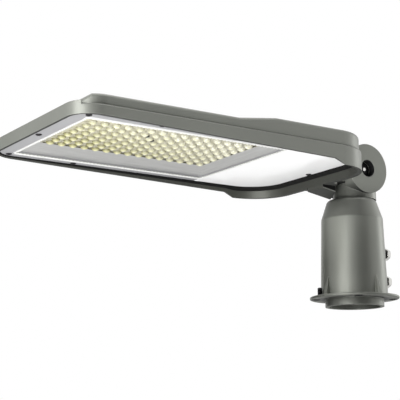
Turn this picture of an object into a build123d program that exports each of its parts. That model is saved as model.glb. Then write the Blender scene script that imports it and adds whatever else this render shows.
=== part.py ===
"""LED street light: a tilting head on a clamp-on pole spigot.

Millimetres, +Z up. The origin is the centre of the pole socket's mouth, the head reaches
towards -X, and the tilt axis runs along Y.
"""

import os

from build123d import *

os.makedirs("parts", exist_ok=True)

# Pole socket and spigot casting
bore_r = 31.0
socket_depth = 98.0
collar_r = 35.0
flange_bottom_z = 9.0
flange_thickness = 3.0
flange_r = 53.2
flange_round = 1.0
sleeve_base_r = 40.0
sleeve_top_r = 37.1
sleeve_top_z = 105.5
shoulder_top_r = 29.2
shoulder_top_z = 129.5
shoulder_round = 6.0
cable_bore_r = 11.0
neck_r = 26.0
neck_offset = 2.0
gusset_angles = (90, 180, 270)
gusset_base_thickness = 6.5
gusset_top_thickness = 1.4
gusset_reach = 6.0
gusset_height = 22.0
flange_hole_r = 4.5
flange_hole_circle_r = 46.0
flange_hole_count = 4
flange_hole_angle = 55.0

# Tilt knuckle
tilt_x = 3.5
tilt_z = 165.0
cheek_r = 30.0
cheek_outer_y = 28.0
tongue_half_width = 14.5
tongue_heel_gap = 0.5
tongue_heel_rise = 1.7
tongue_heel_cut = 16.0
tongue_root_drop = 4.0
tongue_shoulder_x = 8.3
tongue_shoulder_z = 14.2
root_round = 12.0
root_bite = 6.0
root_gap = 0.5
tongue_r = 16.5
side_clearance = 0.3
slot_clearance = 1.0
pivot_r = 5.0
pivot_clearance = 0.06
pivot_end_inset = 0.5
counterbore_r = 10.5
counterbore_depth = 10.0
nut_corner_r = 8.6
nut_height = 5.0
washer_r = 9.4
washer_thickness = 1.2
washer_clearance = 0.1
bolt_head_r = 7.2
bolt_head_height = 2.6

# Clamp screws and earth stud
clamp_screw_r = 4.0
clamp_screw_head_across = 13.0
clamp_screw_head_height = 5.3
clamp_screw_stand_off = 5.0
clamp_nut_height = 4.0
clamp_upper_z = 67.4
clamp_lower_z = 33.3
clamp_tip_inset = 0.5
clamp_pad_x = 41.5
clamp_pad_width = 24.0
clamp_pad_margin = 11.0
thread_clearance = 0.1
stud_r = 3.0
stud_height = 10.5
stud_circle_r = 43.0
stud_angle = 158.0

# Head plan
head_front_x = -428.0
head_rear_x = -50.0
head_half_width = 107.5
front_corner_r = 28.0
rear_corner_r = 50.0

# Body frame heights, each from the level named before it
rim_drop = 1.6
rim_round = 1.6
front_rise = 3.6
front_step_inset = 7.0
lip_front_drop = 10.0
lip_mid_drop = 16.4
lip_mid_x = -114.0
chin_start_x = -101.0
chin_drop = 22.4
panel_drop = 8.7
panel_thickness = 2.0
cut_margin = 1.0
rim_wall = 7.0
rear_wall = 12.0
front_wall = 4.0
panel_gap = 1.5
lip_flare_angle = 18.0
ledge_width = 9.0
crossbar_front_x = -161.0
crossbar_rear_x = -149.0
bay_front_corner_r = 8.0
bay_corner_r = 5.0

# Window, bezel and gear door
bezel_border = 17.2
bezel_side = 17.3
window_rear_x = -165.5
window_corner_r = 3.0
trim_width = 3.2
trim_height = 1.2
seam_x = -158.0
seam_gap = 0.4
seal_gap = 0.15
seal_front_drop = 1.0
seal_mid_drop = 3.6
seal_rear_drop = 5.0
door_tongue_reach = 2.4
door_tongue_root = 7.0
door_tongue_half_width = 70.0
door_tongue_thickness = 1.2
door_tongue_gap = 0.3

# Top cover
gasket_thickness = 1.0
gasket_inset = 0.15
gasket_width = 3.0
cover_inset = 2.5
cover_front_inset = 7.6
cover_front_r = 24.0
cover_front_rise = 2.8
cover_slope_run = 11.0
cover_wall = 4.0
cover_bay_inset = 20.0
cover_bay_front_r = 14.0
deck_rise = 10.8
deck_thickness = 4.0
hump_rise = 6.5
hump_roof = 4.0
ramp_front_x = -240.0
ramp_rear_x = -192.0
gear_bay_front_x = -171.0
cover_round = 4.5
fin_count = 13
fin_pitch = 11.0
fin_thickness = 3.0
fin_height = 9.0
fin_draft = 2.0
fin_front_inset = 44.0
fin_rear_x = -256.0
boss_r = 5.5

# Light engine
lens_pitch = 13.8
lens_shift = 0.65
lens_r = 5.0
lens_dome_height = 4.4
lens_dome_taper = 28.0
lens_plate_rise = 8.8
lens_plate_thickness = 2.4
lens_margin = 9.5
chip_size = 5.0
chip_height = 1.0
chip_gap = 0.1
board_margin = 1.5
board_thickness = 1.6
lens_gasket_width = 3.0
spreader_margin = 5.0
tray_sheet = 1.2
tray_gap = 0.3
tray_flange = 3.0
tray_end_run = 14.0
tray_side_run = 25.0
lens_screw_r = 1.5
lens_screw_head_r = 2.8
lens_screw_head_height = 2.0
lens_screw_cells = ((5, 1), (6, 2))

# Panel and cover screws
panel_screw_r = 2.0
panel_screw_head_r = 3.4
panel_screw_head_height = 1.2
panel_screw_depth = 7.0
panel_screw_taper = 12.0
front_screw_inset = 5.5
door_screw_inset = 3.8
corner_screw_x = 14.0
corner_screw_inset = 8.0
side_screw_first_x = 94.5
side_screw_inset = 4.2
cover_screw_r = 2.5
cover_screw_head_r = 3.8
cover_screw_head_height = 3.5
cover_screw_bite = 5.0
cover_screw_first_x = 44.0
cover_screw_second_x = 150.0
cover_screw_gear_x = 30.0

# Gear
driver_length = 118.0
driver_width = 54.0
driver_height = 17.0
driver_x = -116.0
driver_y = -22.0
driver_ear = 9.0
driver_ear_thickness = 2.0
driver_screw_r = 2.0
surge_length = 36.0
surge_width = 24.0
surge_height = 14.0
surge_corner_r = 3.0
surge_gap = 4.0
terminal_length = 44.0
terminal_width = 15.0
terminal_height = 12.0
terminal_x = -77.0
gland_y = 34.0
gland_rise = 7.1
gland_r = 5.0
gland_nut_across = 11.0
gland_nut_height = 3.0
gland_dome_r = 4.6
gland_dome_length = 9.0
gland_dome_taper = 10.0
gland_cable_r = 2.4
supply_lead_r = 2.3
supply_lead_bend = 7.0
lead_r = 1.1
lead_spacing = 8.0

# Levels and places that follow from the sizes above
flange_top_z = flange_bottom_z + flange_thickness
rim_top_z = tilt_z - rim_drop
front_top_z = rim_top_z + front_rise
lip_front_z = rim_top_z - lip_front_drop
lip_mid_z = rim_top_z - lip_mid_drop
chin_z = rim_top_z - chin_drop
panel_z = rim_top_z - panel_drop
slot_half = tongue_half_width + side_clearance
slot_floor_z = tilt_z - tongue_r - slot_clearance
tongue_heel_x = tilt_x + neck_offset - neck_r - tongue_heel_gap
panel_top_z = panel_z + panel_thickness
cover_base_z = rim_top_z + gasket_thickness
deck_top_z = cover_base_z + deck_rise
hump_top_z = deck_top_z + hump_rise
gland_z = cover_base_z + gland_rise
lens_plate_z = panel_z + lens_plate_rise
deck_under_z = deck_top_z - deck_thickness
hump_under_z = hump_top_z - hump_roof
lens_plate_top_z = lens_plate_z + lens_plate_thickness
board_z = lens_plate_top_z + chip_gap + chip_height
board_top_z = board_z + board_thickness
panel_front_x = head_front_x + front_wall
panel_rear_x = head_rear_x - rear_wall
panel_half_width = head_half_width - rim_wall
window_front_x = panel_front_x + bezel_border
window_half_width = panel_half_width - bezel_side
ledge_half_width = panel_half_width - ledge_width
bay_front_x = panel_front_x + ledge_width + front_wall
bay_rear_x = panel_rear_x - ledge_width
front_step_x = head_front_x + front_step_inset
cover_front_x = head_front_x + cover_front_inset
cover_bay_front_x = head_front_x + cover_bay_inset
fin_front_x = head_front_x + fin_front_inset
window_length = window_rear_x - window_front_x
window_centre_x = (window_rear_x + window_front_x) / 2
lens_centre_x = window_centre_x + lens_shift
lens_columns = 1 + int((window_length - 2 * tray_end_run - 2 * lens_margin) / lens_pitch)
lens_rows = 1 + int((2 * window_half_width - 2 * tray_side_run - 2 * lens_margin) / lens_pitch)
lens_field_x = (lens_columns - 1) * lens_pitch
lens_field_y = (lens_rows - 1) * lens_pitch
plate_x = lens_field_x + 2 * lens_margin
plate_y = lens_field_y + 2 * lens_margin
board_x = plate_x + 2 * board_margin
board_y = plate_y + 2 * board_margin

# Places of the fasteners
bezel_screw_points = [
    (panel_front_x + front_screw_inset, 0.0),
    (panel_front_x + corner_screw_x, panel_half_width - corner_screw_inset),
    (panel_front_x + corner_screw_x, -panel_half_width + corner_screw_inset),
    (panel_front_x + side_screw_first_x, panel_half_width - side_screw_inset),
    (panel_front_x + side_screw_first_x, -panel_half_width + side_screw_inset),
]
door_screw_points = [(panel_rear_x - door_screw_inset, 0.0)]
cover_screw_points = [
    (x, side * (panel_half_width - ledge_width / 2))
    for x in (
        panel_front_x + cover_screw_first_x,
        panel_front_x + cover_screw_second_x,
        crossbar_rear_x + cover_screw_gear_x,
    )
    for side in (-1, 1)
]
lens_screw_points = [
    (
        lens_centre_x - lens_field_x / 2 + (column + 0.5) * lens_pitch,
        (row + 0.5) * lens_pitch - lens_field_y / 2,
    )
    for column, row in lens_screw_cells
]
driver_screw_points = [
    (driver_x + across * driver_width / 3, driver_y + side * (driver_length + driver_ear) / 2)
    for across in (-1, 1)
    for side in (-1, 1)
]


def rounded_plan(front_x, rear_x, half_width, front_r, rear_r):
    """Plan of a piece of the head: a rectangle with its own front and rear corners."""
    with BuildSketch() as plan:
        with Locations(((front_x + rear_x) / 2, 0)):
            Rectangle(rear_x - front_x, 2 * half_width)
        fillet(plan.vertices().group_by(Axis.X)[0], front_r)
        fillet(plan.vertices().group_by(Axis.X)[-1], rear_r)
    return plan.sketch


def head_plan(inset):
    """Plan of the head drawn in by one inset on every side."""
    return rounded_plan(
        head_front_x + inset,
        head_rear_x - inset,
        head_half_width - inset,
        front_corner_r - inset,
        rear_corner_r - inset,
    )


def cover_plan(inset):
    """Plan of the top cover drawn in by one inset; it starts behind the raised front wall."""
    return rounded_plan(
        cover_front_x + inset,
        head_rear_x - cover_inset - inset,
        head_half_width - cover_inset - inset,
        cover_front_r - inset,
        rear_corner_r - cover_inset - inset,
    )


def panel_plan(grow):
    """Plan of the bezel and gear door together, grown by a gap."""
    return rounded_plan(
        panel_front_x - grow,
        panel_rear_x + grow,
        panel_half_width + grow,
        front_corner_r - rim_wall + grow,
        rear_corner_r - rim_wall + grow,
    )


def finish(builder, name):
    """Label a finished piece and write its file."""
    builder.part.label = name
    export_step(builder.part, f"parts/{name}.step")


# Gusset between flange and sleeve: a rib that thins towards its top, drawn at 0 degrees
with BuildPart() as gusset:
    with BuildSketch(Plane.XZ):
        with BuildLine():
            Polyline(
                (bore_r + cut_margin, flange_top_z - cut_margin),
                (sleeve_base_r + gusset_reach, flange_top_z - cut_margin),
                (sleeve_base_r + gusset_reach, flange_top_z),
                (sleeve_base_r, flange_top_z + gusset_height),
                (bore_r + cut_margin, flange_top_z + gusset_height),
                close=True,
            )
        make_face()
    extrude(amount=gusset_base_thickness, both=True)
    with BuildSketch(Plane.YZ):
        with BuildLine():
            Polyline(
                (-gusset_base_thickness / 2, flange_top_z - cut_margin),
                (gusset_base_thickness / 2, flange_top_z - cut_margin),
                (gusset_top_thickness / 2, flange_top_z + gusset_height),
                (-gusset_top_thickness / 2, flange_top_z + gusset_height),
                close=True,
            )
        make_face()
    extrude(amount=flange_r, mode=Mode.INTERSECT)

# Spigot casting: collar, flange, sleeve and shoulder are turned, the fork stands on the shoulder
with BuildPart() as spigot:
    with BuildSketch(Plane.XZ):
        with BuildLine():
            Polyline(
                (0, 0),
                (collar_r, 0),
                (collar_r, flange_bottom_z),
                (flange_r, flange_bottom_z),
                (flange_r, flange_top_z),
                (sleeve_base_r, flange_top_z),
                (sleeve_top_r, sleeve_top_z),
                (shoulder_top_r, shoulder_top_z),
                (0, shoulder_top_z),
                close=True,
            )
        make_face()
    revolve(axis=Axis.Z)
    rings = spigot.edges().filter_by(GeomType.CIRCLE)
    fillet(rings.sort_by(Axis.Z)[-1], shoulder_round)
    fillet(rings.filter_by(lambda ring: abs(ring.radius - flange_r) < flange_round), flange_round)
    with BuildSketch(Plane.XY.offset(shoulder_top_z)):
        with Locations((tilt_x + neck_offset, 0)):
            Circle(neck_r)
    extrude(amount=tilt_z - shoulder_top_z)
    with BuildSketch(Plane.XZ.offset(-cheek_outer_y)):
        with Locations((tilt_x, tilt_z)):
            Circle(cheek_r)
    extrude(amount=2 * cheek_outer_y)
    for angle in gusset_angles:
        add(gusset.part, rotation=(0, 0, angle))
    with BuildSketch(Plane.YZ.offset(bore_r)):
        with Locations((0, (clamp_upper_z + clamp_lower_z) / 2)):
            RectangleRounded(
                clamp_pad_width,
                clamp_upper_z - clamp_lower_z + 2 * clamp_pad_margin,
                clamp_pad_width / 4,
            )
    extrude(amount=clamp_pad_x - bore_r)
    with Locations((tilt_x, 0, slot_floor_z)):
        Box(
            4 * cheek_r,
            2 * slot_half,
            2 * cheek_outer_y + tilt_z,
            align=(Align.CENTER, Align.CENTER, Align.MIN),
            mode=Mode.SUBTRACT,
        )
    with BuildSketch():
        Circle(bore_r)
    extrude(amount=socket_depth, mode=Mode.SUBTRACT)
    with BuildSketch():
        Circle(cable_bore_r)
    extrude(amount=tilt_z, mode=Mode.SUBTRACT)
    with BuildSketch(Plane.XZ.offset(-cheek_outer_y)):
        with Locations((tilt_x, tilt_z)):
            Circle(pivot_r + pivot_clearance)
    extrude(amount=2 * cheek_outer_y, mode=Mode.SUBTRACT)
    for side in (-1, 1):
        with BuildSketch(Plane.XZ.offset(side * cheek_outer_y)):
            with Locations((tilt_x, tilt_z)):
                Circle(counterbore_r)
        extrude(amount=-side * counterbore_depth, mode=Mode.SUBTRACT)
    with BuildSketch(Plane.XY.offset(flange_bottom_z)):
        with PolarLocations(flange_hole_circle_r, flange_hole_count, start_angle=flange_hole_angle):
            Circle(flange_hole_r)
    extrude(amount=flange_thickness, mode=Mode.SUBTRACT)
    with BuildSketch(Plane.XY.offset(flange_bottom_z)):
        with PolarLocations(stud_circle_r, 1, start_angle=stud_angle):
            Circle(stud_r + thread_clearance)
    extrude(amount=flange_thickness, mode=Mode.SUBTRACT)
    with BuildSketch(Plane.YZ):
        with Locations((0, clamp_upper_z), (0, clamp_lower_z)):
            Circle(clamp_screw_r + thread_clearance)
    extrude(amount=flange_r, mode=Mode.SUBTRACT)
finish(spigot, "spigot")

# Clamp screws: hex heads stand off the sleeve, lock nuts bear on it, tips stay out of the bore
for name, screw_z in (("clamp_screw_upper", clamp_upper_z), ("clamp_screw_lower", clamp_lower_z)):
    head_x = clamp_pad_x + clamp_nut_height + clamp_screw_stand_off
    with BuildPart() as clamp_screw:
        with BuildSketch(Plane.YZ.offset(bore_r + clamp_tip_inset)):
            with Locations((0, screw_z)):
                Circle(clamp_screw_r)
        extrude(amount=head_x - bore_r - clamp_tip_inset)
        with BuildSketch(Plane.YZ.offset(head_x)):
            with Locations((0, screw_z)):
                RegularPolygon(clamp_screw_head_across / 2, 6, major_radius=False)
        extrude(amount=clamp_screw_head_height)
    finish(clamp_screw, name)
with BuildPart() as clamp_nuts:
    with BuildSketch(Plane.YZ.offset(clamp_pad_x)):
        with Locations((0, clamp_upper_z), (0, clamp_lower_z)):
            RegularPolygon(clamp_screw_head_across / 2, 6, major_radius=False)
            Circle(clamp_screw_r + thread_clearance, mode=Mode.SUBTRACT)
    extrude(amount=clamp_nut_height)
finish(clamp_nuts, "clamp_nuts")

# Earth stud: rises from the flange beside the sleeve
with BuildPart() as earth_stud:
    with BuildSketch(Plane.XY.offset(flange_bottom_z)):
        with PolarLocations(stud_circle_r, 1, start_angle=stud_angle):
            Circle(stud_r)
    extrude(amount=flange_thickness + stud_height)
    fillet(earth_stud.faces().sort_by(Axis.Z)[-1].edges(), stud_r / 2)
finish(earth_stud, "earth_stud")

# Pivot bolt, washers and nut: the bolt lies along Y in the cheeks and the tongue
counterbore_y = cheek_outer_y - counterbore_depth
with BuildPart() as pivot_bolt:
    with BuildSketch(Plane.XZ.offset(pivot_end_inset - cheek_outer_y)):
        with Locations((tilt_x, tilt_z)):
            Circle(pivot_r)
    extrude(amount=cheek_outer_y - pivot_end_inset + counterbore_y + washer_thickness)
    with BuildSketch(Plane.XZ.offset(counterbore_y + washer_thickness)):
        with Locations((tilt_x, tilt_z)):
            RegularPolygon(bolt_head_r, 6)
    extrude(amount=bolt_head_height)
finish(pivot_bolt, "pivot_bolt")
with BuildPart() as pivot_washers:
    for start_y in (counterbore_y + washer_thickness, -counterbore_y):
        with BuildSketch(Plane.XZ.offset(start_y)):
            with Locations((tilt_x, tilt_z)):
                Circle(washer_r)
                Circle(pivot_r + washer_clearance, mode=Mode.SUBTRACT)
        extrude(amount=-washer_thickness)
finish(pivot_washers, "pivot_washers")
with BuildPart() as pivot_nut:
    with BuildSketch(Plane.XZ.offset(-counterbore_y - washer_thickness)):
        with Locations((tilt_x, tilt_z)):
            RegularPolygon(nut_corner_r, 6)
            Circle(pivot_r + washer_clearance, mode=Mode.SUBTRACT)
    extrude(amount=-nut_height)
finish(pivot_nut, "pivot_nut")

# Body frame: rim with a lip that deepens to the rear, two bays, and the tongue
led_bay_plan = rounded_plan(
    bay_front_x, crossbar_front_x, ledge_half_width, bay_front_corner_r, bay_corner_r
)
gear_bay_plan = rounded_plan(
    crossbar_rear_x,
    bay_rear_x,
    ledge_half_width,
    bay_corner_r,
    rear_corner_r - rim_wall - ledge_width,
)
with BuildPart() as body_frame:
    with BuildSketch(Plane.XY.offset(chin_z)):
        add(head_plan(0))
    extrude(amount=front_top_z - chin_z)
    with BuildSketch(Plane.XZ):
        with BuildLine():
            Polyline(
                (head_front_x - cut_margin, lip_front_z),
                (lip_mid_x, lip_mid_z),
                (chin_start_x, chin_z),
                (chin_start_x, chin_z - cut_margin),
                (head_front_x - cut_margin, chin_z - cut_margin),
                close=True,
            )
        make_face()
        with BuildLine():
            Polyline(
                (front_step_x, rim_top_z),
                (head_rear_x + cut_margin, rim_top_z),
                (head_rear_x + cut_margin, front_top_z + cut_margin),
                (front_step_x, front_top_z + cut_margin),
                close=True,
            )
        make_face()
    extrude(amount=head_half_width + cut_margin, both=True, mode=Mode.SUBTRACT)
    upper_edges = body_frame.edges().filter_by(lambda edge: edge.center().Z > rim_top_z - rim_round)
    level_edges = upper_edges.filter_by(lambda edge: abs(edge.tangent_at(0.5).Z) < side_clearance)
    fillet(level_edges.filter_by(lambda edge: edge.center().X > front_step_x + cut_margin), rim_round)
    with BuildSketch(Plane.XY.offset(panel_top_z)):
        add(panel_plan(panel_gap))
    extrude(amount=-panel_thickness, mode=Mode.SUBTRACT)
    with BuildSketch(Plane.XY.offset(panel_z)):
        add(panel_plan(panel_gap))
    extrude(amount=chin_z - panel_z, taper=-lip_flare_angle, mode=Mode.SUBTRACT)
    with BuildSketch(Plane.XY.offset(panel_z)):
        add(led_bay_plan)
        add(gear_bay_plan)
    extrude(amount=front_top_z - panel_z, mode=Mode.SUBTRACT)
    with BuildSketch(Plane.XY.offset(panel_top_z)):
        with Locations((crossbar_front_x, 0)):
            Rectangle(
                crossbar_rear_x - crossbar_front_x,
                2 * (door_tongue_half_width + door_tongue_gap),
                align=(Align.MIN, Align.CENTER),
            )
    extrude(amount=door_tongue_thickness + door_tongue_gap, mode=Mode.SUBTRACT)
    with BuildSketch(Plane.XZ):
        with Locations((tilt_x, tilt_z)):
            Circle(tongue_r)
        with BuildLine():
            Polyline(
                (head_rear_x - root_bite, chin_z - tongue_root_drop),
                (tongue_heel_x, shoulder_top_z + tongue_heel_rise),
                (tongue_heel_x, tilt_z - tongue_r),
                (tilt_x, tilt_z - tongue_r),
                (tilt_x - tongue_shoulder_x, tilt_z + tongue_shoulder_z),
                (head_rear_x + root_gap, rim_top_z),
                (head_rear_x - root_bite, rim_top_z),
                close=True,
            )
        make_face()
    extrude(amount=tongue_half_width, both=True)
    with BuildSketch(Plane.XY.offset(shoulder_top_z)):
        with BuildLine():
            Polyline(
                (tongue_heel_x, tongue_half_width),
                (tilt_x, tongue_half_width),
                (tilt_x, -tongue_half_width),
                (tongue_heel_x - tongue_heel_cut, -tongue_half_width),
                close=True,
            )
        make_face()
    extrude(amount=tilt_z - tongue_r - shoulder_top_z, mode=Mode.SUBTRACT)
    for side in (-1, 1):
        with BuildSketch(Plane.XY.offset(chin_z)):
            with BuildLine():
                root_y = side * (tongue_half_width + root_round)
                Line((head_rear_x - root_bite, 0), (head_rear_x - root_bite, root_y))
                Line((head_rear_x - root_bite, root_y), (head_rear_x, root_y))
                RadiusArc(
                    (head_rear_x, root_y),
                    (head_rear_x + root_round, side * tongue_half_width),
                    side * root_round,
                )
                Line((head_rear_x + root_round, side * tongue_half_width), (head_rear_x + root_round, 0))
                Line((head_rear_x + root_round, 0), (head_rear_x - root_bite, 0))
            make_face()
        extrude(amount=rim_top_z - chin_z)
    with BuildSketch(Plane.XZ):
        with Locations((tilt_x, tilt_z)):
            Circle(pivot_r + pivot_clearance)
    extrude(amount=tongue_half_width, both=True, mode=Mode.SUBTRACT)
    with BuildSketch(Plane.XY.offset(panel_top_z)):
        with Locations(*bezel_screw_points, *door_screw_points):
            Circle(panel_screw_r + thread_clearance)
    extrude(amount=panel_screw_depth - panel_thickness + thread_clearance, mode=Mode.SUBTRACT)
    with BuildSketch(Plane.XY.offset(panel_top_z)):
        with Locations(*cover_screw_points):
            Circle(cover_screw_r + thread_clearance)
    extrude(amount=rim_top_z - panel_top_z, mode=Mode.SUBTRACT)
    with BuildSketch(Plane.XY.offset(panel_top_z)):
        with Locations(*cover_screw_points):
            Circle(cover_screw_head_r + thread_clearance)
    extrude(amount=cover_screw_head_height, mode=Mode.SUBTRACT)
finish(body_frame, "body_frame")

# Top cover: sloped front, flat deck with cooling fins, then a ramp up to the gear compartment
wall_top_z = cover_base_z + cover_front_rise
with BuildPart() as top_cover:
    with BuildSketch(Plane.XY.offset(cover_base_z)):
        add(cover_plan(0))
    extrude(amount=hump_top_z - cover_base_z)
    with BuildSketch(Plane.XZ):
        with BuildLine():
            Polyline(
                (cover_front_x, wall_top_z),
                (cover_front_x + cover_slope_run, deck_top_z),
                (ramp_front_x, deck_top_z),
                (ramp_rear_x, hump_top_z),
                (ramp_rear_x, hump_top_z + cut_margin),
                (cover_front_x - cut_margin, hump_top_z + cut_margin),
                (cover_front_x - cut_margin, wall_top_z),
                close=True,
            )
        make_face()
    extrude(amount=head_half_width, both=True, mode=Mode.SUBTRACT)
    roof_edges = top_cover.edges().filter_by(lambda edge: edge.center().Z > wall_top_z - thread_clearance)
    fillet(roof_edges.filter_by(Axis.Y, reverse=True) + roof_edges.sort_by(Axis.X)[-1:], cover_round)
    with BuildSketch(Plane.XY.offset(cover_base_z)):
        add(
            rounded_plan(
                cover_bay_front_x,
                head_rear_x - cover_inset - cover_wall,
                head_half_width - cover_inset - cover_wall,
                cover_bay_front_r,
                rear_corner_r - cover_inset - cover_wall,
            )
        )
    extrude(amount=deck_under_z - cover_base_z, mode=Mode.SUBTRACT)
    with BuildSketch(Plane.XY.offset(cover_base_z)):
        add(
            rounded_plan(
                gear_bay_front_x,
                head_rear_x - cover_inset - cover_wall,
                head_half_width - cover_inset - cover_wall,
                bay_corner_r,
                rear_corner_r - cover_inset - cover_wall,
            )
        )
    extrude(amount=hump_under_z - cover_base_z, mode=Mode.SUBTRACT)
    with BuildSketch(Plane.XY.offset(cover_base_z)):
        with Locations(*cover_screw_points):
            Circle(boss_r)
    extrude(amount=deck_under_z - cover_base_z)
    with BuildSketch(Plane.XY.offset(cover_base_z)):
        with Locations(*cover_screw_points):
            Circle(cover_screw_r + thread_clearance)
    extrude(amount=cover_screw_bite + thread_clearance, mode=Mode.SUBTRACT)
    with BuildSketch(Plane.XY.offset(deck_top_z)):
        with Locations(((fin_front_x + fin_rear_x) / 2, 0)):
            with GridLocations(0, fin_pitch, 1, fin_count):
                Rectangle(fin_rear_x - fin_front_x, fin_thickness)
    extrude(amount=fin_height, taper=fin_draft)
    with BuildSketch(Plane.YZ.offset(head_rear_x - cover_inset - cover_wall)):
        with Locations((gland_y, gland_z)):
            Circle(gland_r + thread_clearance)
    extrude(amount=cover_wall, mode=Mode.SUBTRACT)
    with BuildSketch(Plane.XY.offset(hump_under_z)):
        with Locations(*driver_screw_points):
            Circle(driver_screw_r + thread_clearance)
    extrude(amount=hump_roof / 2, mode=Mode.SUBTRACT)
finish(top_cover, "top_cover")

# Cover gasket and the screws that draw the cover down on it from below
with BuildPart() as cover_gasket:
    with BuildSketch(Plane.XY.offset(rim_top_z)):
        add(cover_plan(gasket_inset))
        add(cover_plan(gasket_inset + gasket_width), mode=Mode.SUBTRACT)
    extrude(amount=gasket_thickness)
finish(cover_gasket, "cover_gasket")
with BuildPart() as cover_screws:
    with BuildSketch(Plane.XY.offset(panel_top_z)):
        with Locations(*cover_screw_points):
            Circle(cover_screw_head_r)
    extrude(amount=cover_screw_head_height)
    with BuildSketch(Plane.XY.offset(panel_top_z)):
        with Locations(*cover_screw_points):
            Circle(cover_screw_r)
    extrude(amount=cover_base_z - panel_top_z + cover_screw_bite)
finish(cover_screws, "cover_screws")

# Bezel round the window and gear door behind it: one plate level, parted by a seam
with BuildPart() as window_bezel:
    with BuildSketch(Plane.XY.offset(panel_z)):
        add(panel_plan(0))
        with Locations((seam_x - seam_gap / 2, 0)):
            Rectangle(
                -panel_front_x,
                2 * head_half_width,
                align=(Align.MIN, Align.CENTER),
                mode=Mode.SUBTRACT,
            )
        with Locations((window_centre_x, 0)):
            RectangleRounded(window_length, 2 * window_half_width, window_corner_r, mode=Mode.SUBTRACT)
        with Locations(*bezel_screw_points):
            Circle(panel_screw_r + thread_clearance, mode=Mode.SUBTRACT)
    extrude(amount=panel_thickness)
finish(window_bezel, "window_bezel")
with BuildPart() as gear_door:
    with BuildSketch(Plane.XY.offset(panel_z)):
        add(panel_plan(0))
        with Locations((seam_x + seam_gap / 2, 0)):
            Rectangle(
                -panel_front_x,
                2 * head_half_width,
                align=(Align.MAX, Align.CENTER),
                mode=Mode.SUBTRACT,
            )
        with Locations(*door_screw_points):
            Circle(panel_screw_r + thread_clearance, mode=Mode.SUBTRACT)
    extrude(amount=panel_thickness)
    with BuildSketch(Plane.XY.offset(panel_top_z)):
        with Locations((seam_x - door_tongue_reach, 0)):
            Rectangle(
                door_tongue_reach + door_tongue_root,
                2 * door_tongue_half_width,
                align=(Align.MIN, Align.CENTER),
            )
    extrude(amount=door_tongue_thickness)
finish(gear_door, "gear_door")

# Window trim: a moulded bead that edges the window under the bezel
with BuildPart() as window_trim:
    with BuildSketch(Plane.XY.offset(panel_z)):
        with Locations((window_centre_x, 0)):
            RectangleRounded(
                window_length + 2 * trim_width,
                2 * (window_half_width + trim_width),
                window_corner_r + trim_width,
            )
            RectangleRounded(window_length, 2 * window_half_width, window_corner_r, mode=Mode.SUBTRACT)
    extrude(amount=-trim_height)
finish(window_trim, "window_trim")

# Panel seal: a rubber strip on the rim's inner wall that fills the gap round the bezel and the door
with BuildPart() as panel_seal:
    with BuildSketch(Plane.XY.offset(panel_z)):
        add(panel_plan(panel_gap - seal_gap / 3))
    extrude(amount=-seal_rear_drop, taper=-lip_flare_angle)
    with BuildSketch(Plane.XY.offset(panel_z)):
        add(panel_plan(panel_gap - seal_gap / 3))
    extrude(amount=panel_thickness)
    with BuildSketch(Plane.XY.offset(panel_z)):
        add(panel_plan(seal_gap))
    extrude(amount=-seal_rear_drop, taper=-lip_flare_angle, mode=Mode.SUBTRACT)
    with BuildSketch(Plane.XY.offset(panel_z)):
        add(panel_plan(seal_gap))
    extrude(amount=panel_thickness, mode=Mode.SUBTRACT)
    with BuildSketch(Plane.XZ):
        with BuildLine():
            Polyline(
                (head_front_x - cut_margin, panel_z - seal_front_drop),
                (lip_mid_x, panel_z - seal_mid_drop),
                (chin_start_x, panel_z - seal_rear_drop),
                (chin_start_x, panel_z - seal_rear_drop - cut_margin),
                (head_front_x - cut_margin, panel_z - seal_rear_drop - cut_margin),
                close=True,
            )
        make_face()
    extrude(amount=head_half_width, both=True, mode=Mode.SUBTRACT)
finish(panel_seal, "panel_seal")

# Screws of the bezel and the gear door: low heads under the plate, shanks up into the rim
for name, points in (("bezel_screws", bezel_screw_points), ("door_screws", door_screw_points)):
    with BuildPart() as panel_screws:
        with BuildSketch(Plane.XY.offset(panel_z)):
            with Locations(*points):
                Circle(panel_screw_head_r)
        extrude(amount=-panel_screw_head_height, taper=panel_screw_taper)
        with BuildSketch(Plane.XY.offset(panel_z)):
            with Locations(*points):
                Circle(panel_screw_r)
        extrude(amount=panel_screw_depth)
    finish(panel_screws, name)

# Reflector tray: sheet walls that slope from the window's edge up to the lens plate
opening_x = plate_x + 2 * tray_gap
opening_y = plate_y + 2 * tray_gap
with BuildPart() as reflector_tray:
    with BuildSketch(Plane.XY.offset(panel_top_z + tray_sheet)):
        with Locations((window_centre_x, 0)):
            Rectangle(window_length, 2 * window_half_width)
    with BuildSketch(Plane.XY.offset(lens_plate_z + tray_sheet)):
        with Locations((lens_centre_x, 0)):
            Rectangle(opening_x, opening_y)
    loft()
    with BuildSketch(Plane.XY.offset(panel_top_z)):
        with Locations((window_centre_x, 0)):
            Rectangle(window_length + 2 * tray_flange, 2 * (window_half_width + tray_flange))
    extrude(amount=tray_sheet)
    with BuildSketch(Plane.XY.offset(panel_top_z)):
        with Locations((window_centre_x, 0)):
            Rectangle(window_length, 2 * window_half_width)
    with BuildSketch(Plane.XY.offset(lens_plate_z)):
        with Locations((lens_centre_x, 0)):
            Rectangle(opening_x, opening_y)
    loft(mode=Mode.SUBTRACT)
    with BuildSketch(Plane.XY.offset(lens_plate_z)):
        with Locations((lens_centre_x, 0)):
            Rectangle(opening_x, opening_y)
    extrude(amount=tray_sheet, mode=Mode.SUBTRACT)
finish(reflector_tray, "reflector_tray")

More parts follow.
